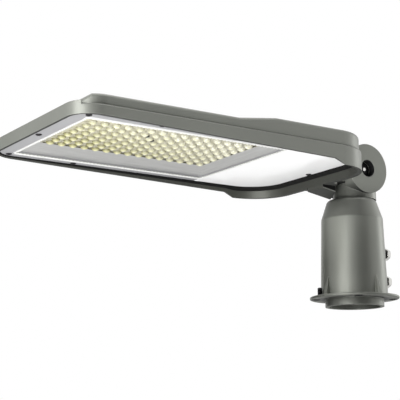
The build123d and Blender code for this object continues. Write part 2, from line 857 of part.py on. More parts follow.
# Lens plate: one clear moulding with a dome under every emitter
with BuildPart() as lens_plate:
    with BuildSketch(Plane.XY.offset(lens_plate_z)):
        with Locations((lens_centre_x, 0)):
            Rectangle(plate_x, plate_y)
        with Locations(*lens_screw_points):
            Circle(lens_screw_r + thread_clearance, mode=Mode.SUBTRACT)
    extrude(amount=lens_plate_thickness)
    with BuildSketch(Plane.XY.offset(lens_plate_z)):
        with Locations((lens_centre_x, 0)):
            with GridLocations(lens_pitch, lens_pitch, lens_columns, lens_rows):
                Circle(lens_r)
    extrude(amount=-lens_dome_height, taper=lens_dome_taper)
finish(lens_plate, "lens_plate")

# Lens gasket, emitters and their circuit board
with BuildPart() as lens_gasket:
    with BuildSketch(Plane.XY.offset(lens_plate_top_z)):
        with Locations((lens_centre_x, 0)):
            Rectangle(plate_x, plate_y)
            Rectangle(plate_x - 2 * lens_gasket_width, plate_y - 2 * lens_gasket_width, mode=Mode.SUBTRACT)
    extrude(amount=board_z - lens_plate_top_z)
finish(lens_gasket, "lens_gasket")
with BuildPart() as emitters:
    with BuildSketch(Plane.XY.offset(board_z)):
        with Locations((lens_centre_x, 0)):
            with GridLocations(lens_pitch, lens_pitch, lens_columns, lens_rows):
                Rectangle(chip_size, chip_size)
    extrude(amount=-chip_height)
finish(emitters, "emitters")
with BuildPart() as led_board:
    with BuildSketch(Plane.XY.offset(board_z)):
        with Locations((lens_centre_x, 0)):
            Rectangle(board_x, board_y)
        with Locations(*lens_screw_points):
            Circle(lens_screw_r + thread_clearance, mode=Mode.SUBTRACT)
    extrude(amount=board_thickness)
finish(led_board, "led_board")

# Heat spreader between the board and the deck, and the screws that clamp the stack to it
with BuildPart() as heat_spreader:
    with BuildSketch(Plane.XY.offset(board_top_z)):
        with Locations((lens_centre_x, 0)):
            Rectangle(board_x + 2 * spreader_margin, board_y + 2 * spreader_margin)
        with Locations(*lens_screw_points):
            Circle(lens_screw_r + thread_clearance, mode=Mode.SUBTRACT)
    extrude(amount=deck_under_z - board_top_z)
finish(heat_spreader, "heat_spreader")
with BuildPart() as lens_screws:
    with BuildSketch(Plane.XY.offset(lens_plate_z)):
        with Locations(*lens_screw_points):
            Circle(lens_screw_head_r)
    extrude(amount=-lens_screw_head_height)
    with BuildSketch(Plane.XY.offset(lens_plate_z)):
        with Locations(*lens_screw_points):
            Circle(lens_screw_r)
    extrude(amount=deck_under_z - lens_plate_z)
finish(lens_screws, "lens_screws")

# Driver under the compartment's roof, with an ear at each end and a screw through each ear
with BuildPart() as led_driver:
    with BuildSketch(Plane.XY.offset(hump_under_z)):
        with Locations((driver_x, driver_y)):
            Rectangle(driver_width, driver_length)
    extrude(amount=-driver_height)
    with BuildSketch(Plane.XY.offset(hump_under_z)):
        with Locations((driver_x, driver_y)):
            Rectangle(driver_width, driver_length + 2 * driver_ear)
        with Locations(*driver_screw_points):
            Circle(driver_screw_r + thread_clearance, mode=Mode.SUBTRACT)
    extrude(amount=-driver_ear_thickness)
finish(led_driver, "led_driver")
with BuildPart() as driver_screws:
    with BuildSketch(Plane.XY.offset(hump_under_z - driver_ear_thickness)):
        with Locations(*driver_screw_points):
            Circle(2 * driver_screw_r)
    extrude(amount=-driver_screw_r)
    with BuildSketch(Plane.XY.offset(hump_under_z - driver_ear_thickness)):
        with Locations(*driver_screw_points):
            Circle(driver_screw_r)
    extrude(amount=driver_ear_thickness + hump_roof / 2)
finish(driver_screws, "driver_screws")

# Surge protector beside the driver's ear, and the terminal block, on the same roof
surge_y = driver_y + driver_length / 2 + driver_ear + surge_gap + surge_length / 2
with BuildPart() as surge_protector:
    with BuildSketch(Plane.XY.offset(hump_under_z)):
        with Locations((driver_x - (driver_width - surge_width) / 2, surge_y)):
            RectangleRounded(surge_width, surge_length, surge_corner_r)
    extrude(amount=-surge_height)
finish(surge_protector, "surge_protector")
with BuildPart() as terminal_block:
    with BuildSketch(Plane.XY.offset(hump_under_z)):
        with Locations((terminal_x, 0)):
            Rectangle(terminal_width, terminal_length)
    extrude(amount=-terminal_height)
finish(terminal_block, "terminal_block")

# Cable gland through the cover's rear wall, with its lock nut inside
wall_inner_x = head_rear_x - cover_inset - cover_wall
wall_outer_x = head_rear_x - cover_inset
with BuildPart() as cable_gland:
    with BuildSketch(Plane.YZ.offset(wall_inner_x - gland_nut_height)):
        with Locations((gland_y, gland_z)):
            Circle(gland_r)
    extrude(amount=wall_outer_x - wall_inner_x + gland_nut_height)
    with BuildSketch(Plane.YZ.offset(wall_outer_x)):
        with Locations((gland_y, gland_z)):
            RegularPolygon(gland_nut_across / 2, 6, major_radius=False)
    extrude(amount=gland_nut_height)
    with BuildSketch(Plane.YZ.offset(wall_outer_x + gland_nut_height)):
        with Locations((gland_y, gland_z)):
            Circle(gland_dome_r)
    extrude(amount=gland_dome_length - gland_nut_height, taper=gland_dome_taper)
    with BuildSketch(Plane.YZ.offset(wall_inner_x - gland_nut_height)):
        with Locations((gland_y, gland_z)):
            Circle(gland_cable_r)
    extrude(amount=2 * gland_nut_height + cover_wall, mode=Mode.SUBTRACT)
finish(cable_gland, "cable_gland")
with BuildPart() as gland_nut:
    with BuildSketch(Plane.YZ.offset(wall_inner_x - gland_nut_height)):
        with Locations((gland_y, gland_z)):
            RegularPolygon(gland_nut_across / 2, 6, major_radius=False)
            Circle(gland_r + thread_clearance, mode=Mode.SUBTRACT)
    extrude(amount=gland_nut_height)
finish(gland_nut, "gland_nut")

# Leads: gland to terminal block, terminal block to driver, driver to circuit board
with BuildPart() as supply_lead:
    with BuildLine() as supply_route:
        FilletPolyline(
            (wall_outer_x, gland_y, gland_z),
            (terminal_x, gland_y, gland_z),
            (terminal_x, terminal_length / 2, gland_z),
            radius=supply_lead_bend,
        )
    with BuildSketch(Plane(origin=supply_route.line @ 0, z_dir=supply_route.line % 0)):
        Circle(supply_lead_r)
    sweep()
finish(supply_lead, "supply_lead")
driver_rear_x = driver_x + driver_width / 2
driver_front_x = driver_x - driver_width / 2
with BuildPart() as driver_leads:
    with BuildSketch(Plane.YZ.offset(driver_rear_x)):
        with Locations((0, hump_under_z - terminal_height / 2)):
            with GridLocations(lead_spacing, 0, 2, 1):
                Circle(lead_r)
    extrude(amount=terminal_x - terminal_width / 2 - driver_rear_x)
finish(driver_leads, "driver_leads")
with BuildPart() as board_leads:
    with BuildSketch(Plane.YZ.offset(lens_centre_x + board_x / 2)):
        with Locations((driver_y, board_top_z - lead_r - chip_gap)):
            with GridLocations(lead_spacing, 0, 2, 1):
                Circle(lead_r)
    extrude(amount=driver_front_x - lens_centre_x - board_x / 2)
finish(board_leads, "board_leads")
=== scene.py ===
import math

import bmesh
import bpy
from mathutils import Matrix, Vector


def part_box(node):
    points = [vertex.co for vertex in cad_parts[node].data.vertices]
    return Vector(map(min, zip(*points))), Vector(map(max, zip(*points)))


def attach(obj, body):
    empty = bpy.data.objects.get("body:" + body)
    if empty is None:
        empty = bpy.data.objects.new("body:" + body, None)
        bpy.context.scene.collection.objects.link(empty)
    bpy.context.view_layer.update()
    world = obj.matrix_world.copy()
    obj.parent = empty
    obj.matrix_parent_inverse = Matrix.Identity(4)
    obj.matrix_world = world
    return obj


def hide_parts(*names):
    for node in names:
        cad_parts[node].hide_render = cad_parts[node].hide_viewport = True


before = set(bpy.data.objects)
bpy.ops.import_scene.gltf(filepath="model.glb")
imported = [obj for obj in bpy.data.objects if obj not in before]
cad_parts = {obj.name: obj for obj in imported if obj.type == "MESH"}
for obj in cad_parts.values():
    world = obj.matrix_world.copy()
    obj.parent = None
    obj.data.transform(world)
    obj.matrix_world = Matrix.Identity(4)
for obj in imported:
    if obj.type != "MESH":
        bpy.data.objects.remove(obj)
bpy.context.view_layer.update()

scene = bpy.context.scene
scene.view_settings.view_transform = "Standard"

# Spigot casting
# A gravity-cast aluminium sleeve, flange and fork that slides over the pole and carries the head.
# It is shot-blasted and powder coated in warm grey, with its edges painted paler as a painted highlight.


def linear(hex_colour):
    """Turn an sRGB hex colour into the linear colour that a socket takes."""
    channels = [int(hex_colour[i : i + 2], 16) / 255 for i in (1, 3, 5)]
    return tuple(c / 12.92 if c <= 0.04045 else ((c + 0.055) / 1.055) ** 2.4 for c in channels) + (1.0,)


def add_node(material, kind, settings=(), links=()):
    """Add a shader node: settings go to its properties or sockets, links come from other outputs."""
    made = material.node_tree.nodes.new(kind)
    for key, value in dict(settings).items():
        if isinstance(key, str) and hasattr(made, key):
            setattr(made, key, value)
        else:
            made.inputs[key].default_value = value
    for key, source in dict(links).items():
        material.node_tree.links.new(source, made.inputs[key])
    return made


def start_material(name, colour, **sockets):
    """Start a material on one principled shader and return both."""
    material = bpy.data.materials.new(name)
    material.use_nodes = True
    shader = material.node_tree.nodes["Principled BSDF"]
    shader.inputs["Base Color"].default_value = linear(colour)
    for key, value in sockets.items():
        shader.inputs[key.replace("_", " ")].default_value = value
    return material, shader


def dress(material, *nodes):
    """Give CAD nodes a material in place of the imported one."""
    for name in nodes:
        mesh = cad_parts[name].data
        mesh.materials.clear()
        mesh.materials.append(material)


# Powder coat with metal flake over cast aluminium: satin, with an orange peel of about 1.5 mm and grit of
# 0.4 mm; its edges are painted paler as a painted highlight, and the faces that look down are painted darker
# as painted shade, and duller
coat_peel = 0.0015
coat_grit = 0.0004
coat_cloud = 0.06
coat_edge = 0.0009
coat_flake = 0.5
underside_shade_turn = (-0.55, -0.95)
underside_shade_most = 0.92
underside_rough = 0.8
powder_coat, coat_shader = start_material("powder_coat_grey", "#7f817b", Metallic=coat_flake, Roughness=0.42)
coat_link = powder_coat.node_tree.links.new
coords = add_node(powder_coat, "ShaderNodeTexCoord")
place = coords.outputs["Object"]
cloud = add_node(powder_coat, "ShaderNodeTexNoise", {"Scale": 1 / coat_cloud, "Detail": 3}, {"Vector": place})
grit = add_node(powder_coat, "ShaderNodeTexNoise", {"Scale": 1 / coat_grit, "Detail": 1}, {"Vector": place})
peel = add_node(powder_coat, "ShaderNodeTexNoise", {"Scale": 1 / coat_peel, "Detail": 2}, {"Vector": place})
tone = add_node(
    powder_coat,
    "ShaderNodeMix",
    {"data_type": "RGBA", 6: linear("#80827b"), 7: linear("#8d8f88")},
    {0: cloud.outputs["Fac"]},
)
speck = add_node(
    powder_coat,
    "ShaderNodeMapRange",
    {"From Min": 0.35, "From Max": 0.75, "To Min": 0.0, "To Max": 0.16},
    {"Value": grit.outputs["Fac"]},
)
speckled = add_node(
    powder_coat,
    "ShaderNodeMix",
    {"data_type": "RGBA", 7: linear("#63655f")},
    {0: speck.outputs["Result"], 6: tone.outputs[2]},
)
rounded = add_node(powder_coat, "ShaderNodeBevel", {"samples": 4, "Radius": coat_edge})
surface = add_node(powder_coat, "ShaderNodeNewGeometry")
flatness = add_node(
    powder_coat,
    "ShaderNodeVectorMath",
    {"operation": "DOT_PRODUCT"},
    {0: rounded.outputs["Normal"], 1: surface.outputs["Normal"]},
)
# Paler edges, found from the rounded normals: painted highlight
edge = add_node(
    powder_coat,
    "ShaderNodeMapRange",
    {"From Min": 0.995, "From Max": 0.86, "To Min": 0.0, "To Max": 0.5},
    {"Value": flatness.outputs["Value"]},
)
edge_highlighted = add_node(
    powder_coat,
    "ShaderNodeMix",
    {"data_type": "RGBA", 7: linear("#a3a59e")},
    {0: edge.outputs["Result"], 6: speckled.outputs[2]},
)
# Faces that look down are darkened and dulled: the darkening is painted shade
facing = add_node(powder_coat, "ShaderNodeSeparateXYZ", (), {"Vector": coords.outputs["Normal"]})
underside_shade = add_node(
    powder_coat,
    "ShaderNodeMapRange",
    {"From Min": underside_shade_turn[0], "From Max": underside_shade_turn[1], "To Min": 0.0, "To Max": underside_shade_most},
    {"Value": facing.outputs["Z"]},
)
underside_shaded = add_node(
    powder_coat,
    "ShaderNodeMix",
    {"data_type": "RGBA", 7: linear("#242523")},
    {0: underside_shade.outputs["Result"], 6: edge_highlighted.outputs[2]},
)
sheen = add_node(
    powder_coat, "ShaderNodeMapRange", {"To Min": 0.36, "To Max": 0.48}, {"Value": cloud.outputs["Fac"]}
)
dulled = add_node(
    powder_coat,
    "ShaderNodeMix",
    {"data_type": "FLOAT", 3: underside_rough},
    {0: underside_shade.outputs["Result"], 2: sheen.outputs["Result"]},
)
bare = add_node(
    powder_coat,
    "ShaderNodeMapRange",
    {"To Min": coat_flake, "To Max": 0.0},
    {"Value": underside_shade.outputs["Result"]},
)
skin = add_node(
    powder_coat,
    "ShaderNodeBump",
    {"Strength": 0.12, "Distance": 0.0002},
    {"Height": peel.outputs["Fac"], "Normal": rounded.outputs["Normal"]},
)
coat_link(underside_shaded.outputs[2], coat_shader.inputs["Base Color"])
coat_link(dulled.outputs[0], coat_shader.inputs["Roughness"])
coat_link(bare.outputs["Result"], coat_shader.inputs["Metallic"])
coat_link(skin.outputs["Normal"], coat_shader.inputs["Normal"])

# Powder coat of the spigot: the same, with less painted shade on faces that look down, painted shade on the
# shoulder and neck on the side towards the head, and painted shade in the corner between collar and flange
spigot_underside_shade = 0.3
neck_shade_foot = 0.105
neck_shade_step = 0.001
neck_shade_top = 0.146
neck_shade_fade = 0.008
neck_shade_turn = (0.2, -0.4)
neck_shade_most = 0.45
corner_shade_floor = (0.004, 0.006)
corner_shade_reach = (0.0445, 0.0385)
corner_shade_most = 0.9
spigot_shaded_coat = powder_coat.copy()
spigot_shaded_coat.name = "powder_coat_grey_spigot_shaded"
spigot_shaded_coat.node_tree.nodes[underside_shade.name].inputs["To Max"].default_value = spigot_underside_shade
spigot_shaded_shader = spigot_shaded_coat.node_tree.nodes["Principled BSDF"]
coords = add_node(spigot_shaded_coat, "ShaderNodeTexCoord")
place = coords.outputs["Object"]
level = add_node(spigot_shaded_coat, "ShaderNodeSeparateXYZ", (), {"Vector": place})
facing = add_node(spigot_shaded_coat, "ShaderNodeSeparateXYZ", (), {"Vector": coords.outputs["Normal"]})
flat_place = add_node(
    spigot_shaded_coat, "ShaderNodeVectorMath", {"operation": "MULTIPLY", 1: (1, 1, 0)}, {0: place}
)
reach = add_node(spigot_shaded_coat, "ShaderNodeVectorMath", {"operation": "LENGTH"}, {0: flat_place.outputs[0]})
neck_shade_bounds = (
    (level.outputs["Z"], (neck_shade_foot - neck_shade_step, neck_shade_foot + neck_shade_step), 1.0),
    (level.outputs["Z"], (neck_shade_top, neck_shade_top - neck_shade_fade), 1.0),
    (facing.outputs["X"], neck_shade_turn, neck_shade_most),
)
corner_shade_bounds = (
    (level.outputs["Z"], corner_shade_floor, 1.0),
    (reach.outputs["Value"], corner_shade_reach, corner_shade_most),
    (facing.outputs["Z"], underside_shade_turn, 1.0),
)
# Both dark colours are painted shade
for bounds, colour in ((neck_shade_bounds, "#2a2b28"), (corner_shade_bounds, "#1c1d1b")):
    amount = None
    for source, (start, full), most in bounds:
        share = add_node(
            spigot_shaded_coat,
            "ShaderNodeMapRange",
            {"From Min": start, "From Max": full, "To Min": 0.0, "To Max": most},
            {"Value": source},
        ).outputs["Result"]
        if amount:
            both = {0: amount, 1: share}
            share = add_node(spigot_shaded_coat, "ShaderNodeMath", {"operation": "MULTIPLY"}, both).outputs[0]
        amount = share
    darkened = add_node(
        spigot_shaded_coat,
        "ShaderNodeMix",
        {"data_type": "RGBA", 7: linear(colour)},
        {0: amount, 6: spigot_shaded_shader.inputs["Base Color"].links[0].from_socket},
    )
    spigot_shaded_coat.node_tree.links.new(darkened.outputs[2], spigot_shaded_shader.inputs["Base Color"])
dress(spigot_shaded_coat, "spigot")

# Clamp screws and lock nuts
# Two stainless M8 hex screws press on the pole through the sleeve's rear pad, each with a blackened lock nut.
# The heads are cold forged, with a turned chamfer and a dished crown; the threads take the black oxide as
# painted shade under the heads.


def solids(name):
    """Lowest and highest corner of each separate solid in a CAD node."""
    mesh = bmesh.new()
    mesh.from_mesh(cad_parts[name].data)
    bmesh.ops.remove_doubles(mesh, verts=mesh.verts, dist=1e-6)
    found = []
    left = set(mesh.verts)
    while left:
        front = [left.pop()]
        island = list(front)
        while front:
            vert = front.pop()
            near = {edge.other_vert(vert) for edge in vert.link_edges} & left
            left -= near
            front += near
            island += near
        places = [vert.co for vert in island]
        lowest = Vector(min(p[axis] for p in places) for axis in range(3))
        highest = Vector(max(p[axis] for p in places) for axis in range(3))
        found.append((lowest, highest))
    mesh.free()
    return sorted(found, key=lambda corners: tuple(round(c, 4) for c in corners[0]))


def loft(shape, rings, place=Matrix(), material_index=0):
    """Skin a stack of equal rings with quads and close both ends."""
    rows = [[shape.verts.new(place @ Vector(point)) for point in ring] for ring in rings]
    count = len(rows[0])
    faces = []
    for lower, upper in zip(rows, rows[1:]):
        for i in range(count):
            j = (i + 1) % count
            faces.append(shape.faces.new((lower[i], lower[j], upper[j], upper[i])))
    faces.append(shape.faces.new(rows[0][::-1]))
    faces.append(shape.faces.new(rows[-1]))
    for face in faces:
        face.material_index = material_index
        face.smooth = len(face.verts) == 4
    return faces


def circle(radius, height, count=36):
    """One ring of a turned shape."""
    turns = [2 * math.pi * i / count for i in range(count)]
    return [(radius * math.cos(turn), radius * math.sin(turn), height) for turn in turns]


def hexagon(across, height, count=36, chamfer_from=None):
    """One ring of a hexagon; with a chamfer its corners drop away from the crown."""
    ring = []
    for i in range(count):
        turn = 2 * math.pi * i / count
        reach = across / 2 / math.cos((turn + math.pi / 6) % (math.pi / 3) - math.pi / 6)
        drop = 0 if chamfer_from is None else max(0, reach - chamfer_from) * math.tan(math.pi / 6)
        ring.append((reach * math.cos(turn), reach * math.sin(turn), height - drop))
    return ring


crease = math.radians(35)


def make_piece(name, shape, body, slot, *materials):
    """Close a mesh, put it in the scene and let it ride on a body."""
    bmesh.ops.recalc_face_normals(shape, faces=shape.faces)
    mesh = bpy.data.meshes.new(name)
    shape.to_mesh(mesh)
    shape.free()
    for material in materials:
        mesh.materials.append(material)
    mesh.set_sharp_from_angle(angle=crease)
    piece = bpy.data.objects.new(name, mesh)
    scene.collection.objects.link(piece)
    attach(piece, body)
    return piece


def grain(material, shader, size, detail=2, tones=None, roughness=None, relief=None):
    """Let one noise of a real size vary a shader's colour, its roughness or its relief."""
    link = material.node_tree.links.new
    place = add_node(material, "ShaderNodeTexCoord").outputs["Object"]
    noise = add_node(material, "ShaderNodeTexNoise", {"Scale": 1 / size, "Detail": detail}, {"Vector": place})
    amount = noise.outputs["Fac"]
    if tones:
        dark, light = (linear(colour) for colour in tones)
        tone = add_node(material, "ShaderNodeMix", {"data_type": "RGBA", 6: dark, 7: light}, {0: amount})
        link(tone.outputs[2], shader.inputs["Base Color"])
    if roughness:
        limits = {"To Min": roughness[0], "To Max": roughness[1]}
        rough = add_node(material, "ShaderNodeMapRange", limits, {"Value": amount})
        link(rough.outputs["Result"], shader.inputs["Roughness"])
    if relief:
        depth = {"Strength": relief[0], "Distance": relief[1]}
        bump = add_node(material, "ShaderNodeBump", depth, {"Height": amount})
        link(bump.outputs["Normal"], shader.inputs["Normal"])


# Stainless steel: bright, lightly turned, with faint tool marks of about 0.25 mm, drawn 0.6 mm wide so that
# they show
tool_mark = 0.0006
stainless, steel_shader = start_material("stainless_steel_turned", "#d8d7d3", Metallic=1.0, Roughness=0.17)
grain(
    stainless,
    steel_shader,
    tool_mark,
    tones=("#cccbc7", "#e4e3df"),
    roughness=(0.1, 0.24),
    relief=(0.08, 0.0001),
)

# Black oxide on steel: near black, oily satin, with slight brown in the worn places
oxide_mottle = 0.002
black_oxide, oxide_shader = start_material("black_oxide_steel", "#1b1b1c", Metallic=0.6, Roughness=0.42)
grain(black_oxide, oxide_shader, oxide_mottle, 3, tones=("#131314", "#29272a"), roughness=(0.34, 0.55))

hex_crown = 0.47
thread_root = 0.86
clamp_across = 0.013
clamp_crown_r = clamp_across * hex_crown
clamp_face_r = clamp_across * 0.46
clamp_face = 0.0004
clamp_dish = 0.0003
clamp_head_height = 0.0053
clamp_shank_r = 0.004
clamp_point_r = clamp_shank_r * 0.8
clamp_point = 0.001
clamp_thread_pitch = 0.00125
clamp_thread_length = 0.012
nut_face = 0.0005
nut_countersink = 0.0006
towards_rear = Matrix.Rotation(math.pi / 2, 4, "Y") @ Matrix.Rotation(math.pi / 6, 4, "Z")
for name in ("clamp_screw_upper", "clamp_screw_lower"):
    low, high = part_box(name)
    at = Matrix.Translation((0, 0, (low.z + high.z) / 2)) @ towards_rear
    shape = bmesh.new()
    crown = high.x
    head = crown - clamp_head_height
    thread = [circle(clamp_point_r, low.x), circle(clamp_shank_r, low.x + clamp_point)]
    for i in range(int(clamp_thread_length / clamp_thread_pitch)):
        z = head - clamp_thread_length + i * clamp_thread_pitch
        thread += [circle(clamp_shank_r, z), circle(clamp_shank_r * thread_root, z + clamp_thread_pitch / 2)]
    # The thread takes the black oxide: painted shade under the head
    loft(shape, thread + [circle(clamp_shank_r, head)], at, 1)
    rings = [
        circle(clamp_face_r, head),
        circle(clamp_face_r, head + clamp_face),
        hexagon(clamp_across, head + clamp_face),
        hexagon(clamp_across, crown, chamfer_from=clamp_crown_r),
        circle(clamp_crown_r, crown),
        circle(clamp_crown_r * 0.72, crown - clamp_dish),
        circle(clamp_crown_r * 0.2, crown - clamp_dish - 0.0001),
    ]
    loft(shape, rings, at)
    screw = make_piece(name + "_hex", shape, "spigot", "stainless", stainless, black_oxide)
    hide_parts(name)
shape = bmesh.new()
for low, high in solids("clamp_nuts"):
    at = Matrix.Translation((0, 0, (low.z + high.z) / 2)) @ towards_rear
    rings = [
        circle(clamp_shank_r, low.x),
        circle(clamp_crown_r, low.x),
        hexagon(clamp_across, low.x + nut_face),
        hexagon(clamp_across, high.x, chamfer_from=clamp_crown_r),
        circle(clamp_crown_r, high.x),
        circle(clamp_shank_r * 1.15, high.x),
        circle(clamp_shank_r, high.x - nut_countersink),
    ]
    loft(shape, rings, at)
lock_nuts = make_piece("clamp_lock_nuts", shape, "spigot", "black_steel", black_oxide)
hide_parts("clamp_nuts")

# Liners of the flange holes
# Thin moulded bushes of black nylon, pressed into the four holes from below.
# They are black as painted shade inside the holes, and each ends in a small lip under the flange.


def ring_skin(shape, rows, smooth=True, material_index=0):
    """Skin rows of points that close on themselves both ways, as a tyre's do."""
    rows = [[shape.verts.new(point) for point in row] for row in rows]
    count = len(rows[0])
    for row, after in zip(rows, rows[1:] + rows[:1]):
        for i in range(count):
            j = (i + 1) % count
            face = shape.faces.new((row[i], row[j], after[j], after[i]))
            face.smooth = smooth
            face.material_index = material_index


# Black nylon: moulded, satin, with spark-eroded texture of about 0.5 mm
nylon_texture = 0.0005
black_nylon, black_nylon_shader = start_material("black_nylon", "#141415", Roughness=0.55, IOR=1.53)
grain(black_nylon, black_nylon_shader, nylon_texture, relief=(0.15, 0.0001))

liner_count = 4
liner_first = 55
liner_circle_r = 0.046
liner_r = 0.0045
liner_wall = 0.0004
liner_inner_r = liner_r - liner_wall
liner_lip_r = liner_r + 0.0007
liner_lip = 0.0003
liner_low = 0.009
liner_high = 0.012
small_ring = 24
liner_profile = (
    (liner_inner_r, liner_high),
    (liner_r, liner_high),
    (liner_r, liner_low),
    (liner_lip_r, liner_low),
    (liner_lip_r, liner_low - liner_lip),
    (liner_inner_r, liner_low - liner_lip - 0.0001),
)
shape = bmesh.new()
for i in range(liner_count):
    turn = math.radians(liner_first + 360 / liner_count * i)
    at = Matrix.Translation((liner_circle_r * math.cos(turn), liner_circle_r * math.sin(turn), 0))
    ring_skin(shape, [[at @ Vector(point) for point in circle(r, z, small_ring)] for r, z in liner_profile])
make_piece("flange_hole_shade_liners", shape, "spigot", "black_plastic", black_nylon)

# Earth stud
# A blackened steel stud that is screwed up through the flange, with a lock washer at its foot.
# The pole's earth lead is clamped on its thread.
stud_low, stud_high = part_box("earth_stud")
stud_r = (stud_high.x - stud_low.x) / 2
stud_pitch = 0.001
stud_point_r = stud_r * 0.8
stud_point = 0.0005
stud_tip = 0.002
stud_tip_rings = ((0.95, 0.0012), (0.7, 0.0003), (0.3, 0.0))
stud_washer_r = 0.0041
stud_washer = 0.0009
flange_thickness = 0.003
flange_top = stud_low.z + flange_thickness
at = Matrix.Translation(((stud_low.x + stud_high.x) / 2, (stud_low.y + stud_high.y) / 2, 0))
shape = bmesh.new()
rings = [circle(stud_point_r, stud_low.z), circle(stud_r, stud_low.z + stud_point)]
level = flange_top + stud_washer
while level < stud_high.z - stud_tip:
    rings += [circle(stud_r, level), circle(stud_r * thread_root, level + stud_pitch / 2)]
    level += stud_pitch
rings += [circle(stud_r * share, stud_high.z - below) for share, below in stud_tip_rings]
loft(shape, rings, at)
rings = [
    circle(stud_r, flange_top),
    circle(stud_washer_r, flange_top),
    circle(stud_washer_r, flange_top + stud_washer * 0.8),
    circle(stud_washer_r * 0.96, flange_top + stud_washer),
    circle(stud_r, flange_top + stud_washer),
]
loft(shape, rings, at)
stud = make_piece("earth_stud_threaded", shape, "spigot", "black_steel", black_oxide)
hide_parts("earth_stud")

# Tilt bolt, washers and nut
# A blackened hinge bolt lies deep in counterbores of the fork's two cheeks and clamps the head's tongue.
# A plain washer sits under its low head and another under the nut; the head's centre is turned bright.
bolt_low, bolt_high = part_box("pivot_bolt")
bolt_nut_low, bolt_nut_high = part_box("pivot_nut")
bolt_r = 0.005
bolt_point = 0.0008
bolt_head_height = 0.0026
bolt_across = 0.0144 * math.cos(math.pi / 6)
bolt_crown_r = bolt_across * hex_crown
boss_r = 0.0023
boss_height = 0.0009
boss_round = 0.0003
pivot = Vector(((bolt_low.x + bolt_high.x) / 2, 0, (bolt_low.z + bolt_high.z) / 2))
along_pivot = Matrix.Translation(pivot) @ Matrix.Rotation(math.pi / 2, 4, "X")
bolt_face = -bolt_low.y
bolt_seat = bolt_face - bolt_head_height
shape = bmesh.new()
rings = [
    circle(bolt_r * 0.85, -bolt_high.y),
    circle(bolt_r, -bolt_high.y + bolt_point),
    circle(bolt_r, bolt_seat),
    hexagon(bolt_across, bolt_seat),
    hexagon(bolt_across, bolt_face - boss_height, chamfer_from=bolt_crown_r),
    circle(bolt_crown_r, bolt_face - boss_height),
    circle(boss_r, bolt_face - boss_height),
]
loft(shape, rings, along_pivot)
rings = [
    circle(boss_r, bolt_face - boss_height - 0.0001),
    circle(boss_r, bolt_face - boss_round),
    circle(boss_r - boss_round, bolt_face),
    circle(boss_r * 0.4, bolt_face),
]
loft(shape, rings, along_pivot, 1)
bolt = make_piece("tilt_bolt_hex", shape, "spigot", "black_steel", black_oxide, stainless)
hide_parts("pivot_bolt")

washer_round = 0.0002
washer_bore_r = bolt_r * 1.02
shape = bmesh.new()
for low, high in solids("pivot_washers"):
    washer_r = (high.x - low.x) / 2
    rings = [
        circle(washer_bore_r, -high.y),
        circle(washer_r - washer_round, -high.y),
        circle(washer_r, -high.y + washer_round),
        circle(washer_r, -low.y - washer_round),
        circle(washer_r - washer_round, -low.y),
        circle(washer_bore_r, -low.y),
    ]
    loft(shape, rings, along_pivot)
washers = make_piece("tilt_washers", shape, "spigot", "black_steel", black_oxide)
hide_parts("pivot_washers")

tilt_nut_across = (bolt_nut_high.x - bolt_nut_low.x) * math.cos(math.pi / 6)
tilt_nut_face_r = tilt_nut_across * hex_crown
tilt_nut_chamfer = 0.0006
shape = bmesh.new()
rings = [
    circle(bolt_r, -bolt_nut_low.y),
    circle(tilt_nut_face_r, -bolt_nut_low.y),
    hexagon(tilt_nut_across, -bolt_nut_low.y - tilt_nut_chamfer),
    hexagon(tilt_nut_across, -bolt_nut_high.y + tilt_nut_chamfer),
    circle(tilt_nut_face_r, -bolt_nut_high.y),
    circle(bolt_r * 1.1, -bolt_nut_high.y),
    circle(bolt_r, -bolt_nut_high.y + tilt_nut_chamfer),
]
loft(shape, rings, along_pivot)
bolt_nut = make_piece("tilt_nut_hex", shape, "spigot", "black_steel", black_oxide)
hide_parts("pivot_nut")

# Bushes of the counterbores
# Turned bushes of black nylon, pressed into the counterbores of the two cheeks.
# They are black as painted shade inside the counterbores.
bush_r = 0.0105
bush_wall = 0.0004
bush_bore_r = bush_r - bush_wall
bush_mouth = 0.0277
bush_gap = 0.0001
bush_foot = max(abs(low.y) for low, high in solids("pivot_washers")) + bush_gap
bush_profile = (
    (bush_r, bush_foot),
    (bush_r, bush_mouth),
    (bush_bore_r, bush_mouth),
    (bush_bore_r, bush_foot),
)
shape = bmesh.new()
for side in (-1, 1):
    rows = [[along_pivot @ Vector((x, y, side * z)) for x, y, z in circle(*ring)] for ring in bush_profile]
    ring_skin(shape, rows)
make_piece("tilt_shade_bushes", shape, "spigot", "black_plastic", black_nylon)

# Body frame
# The head's die-cast aluminium rim, with the tongue that turns in the fork; its lip deepens to the rear.
# It is coated with the cover, and its faces that look inward are painted dark as painted shade.

# Powder coat of the head: as on the spigot, with all of its painted shade on faces that look down, and
# painted one shade darker as painted shade
head_coat = powder_coat.copy()
head_coat.name = "powder_coat_grey_head"
# The darker tones of this copy are painted shade on the head
for socket, colour in ((6, "#797b75"), (7, "#868881")):
    head_coat.node_tree.nodes[tone.name].inputs[socket].default_value = linear(colour)

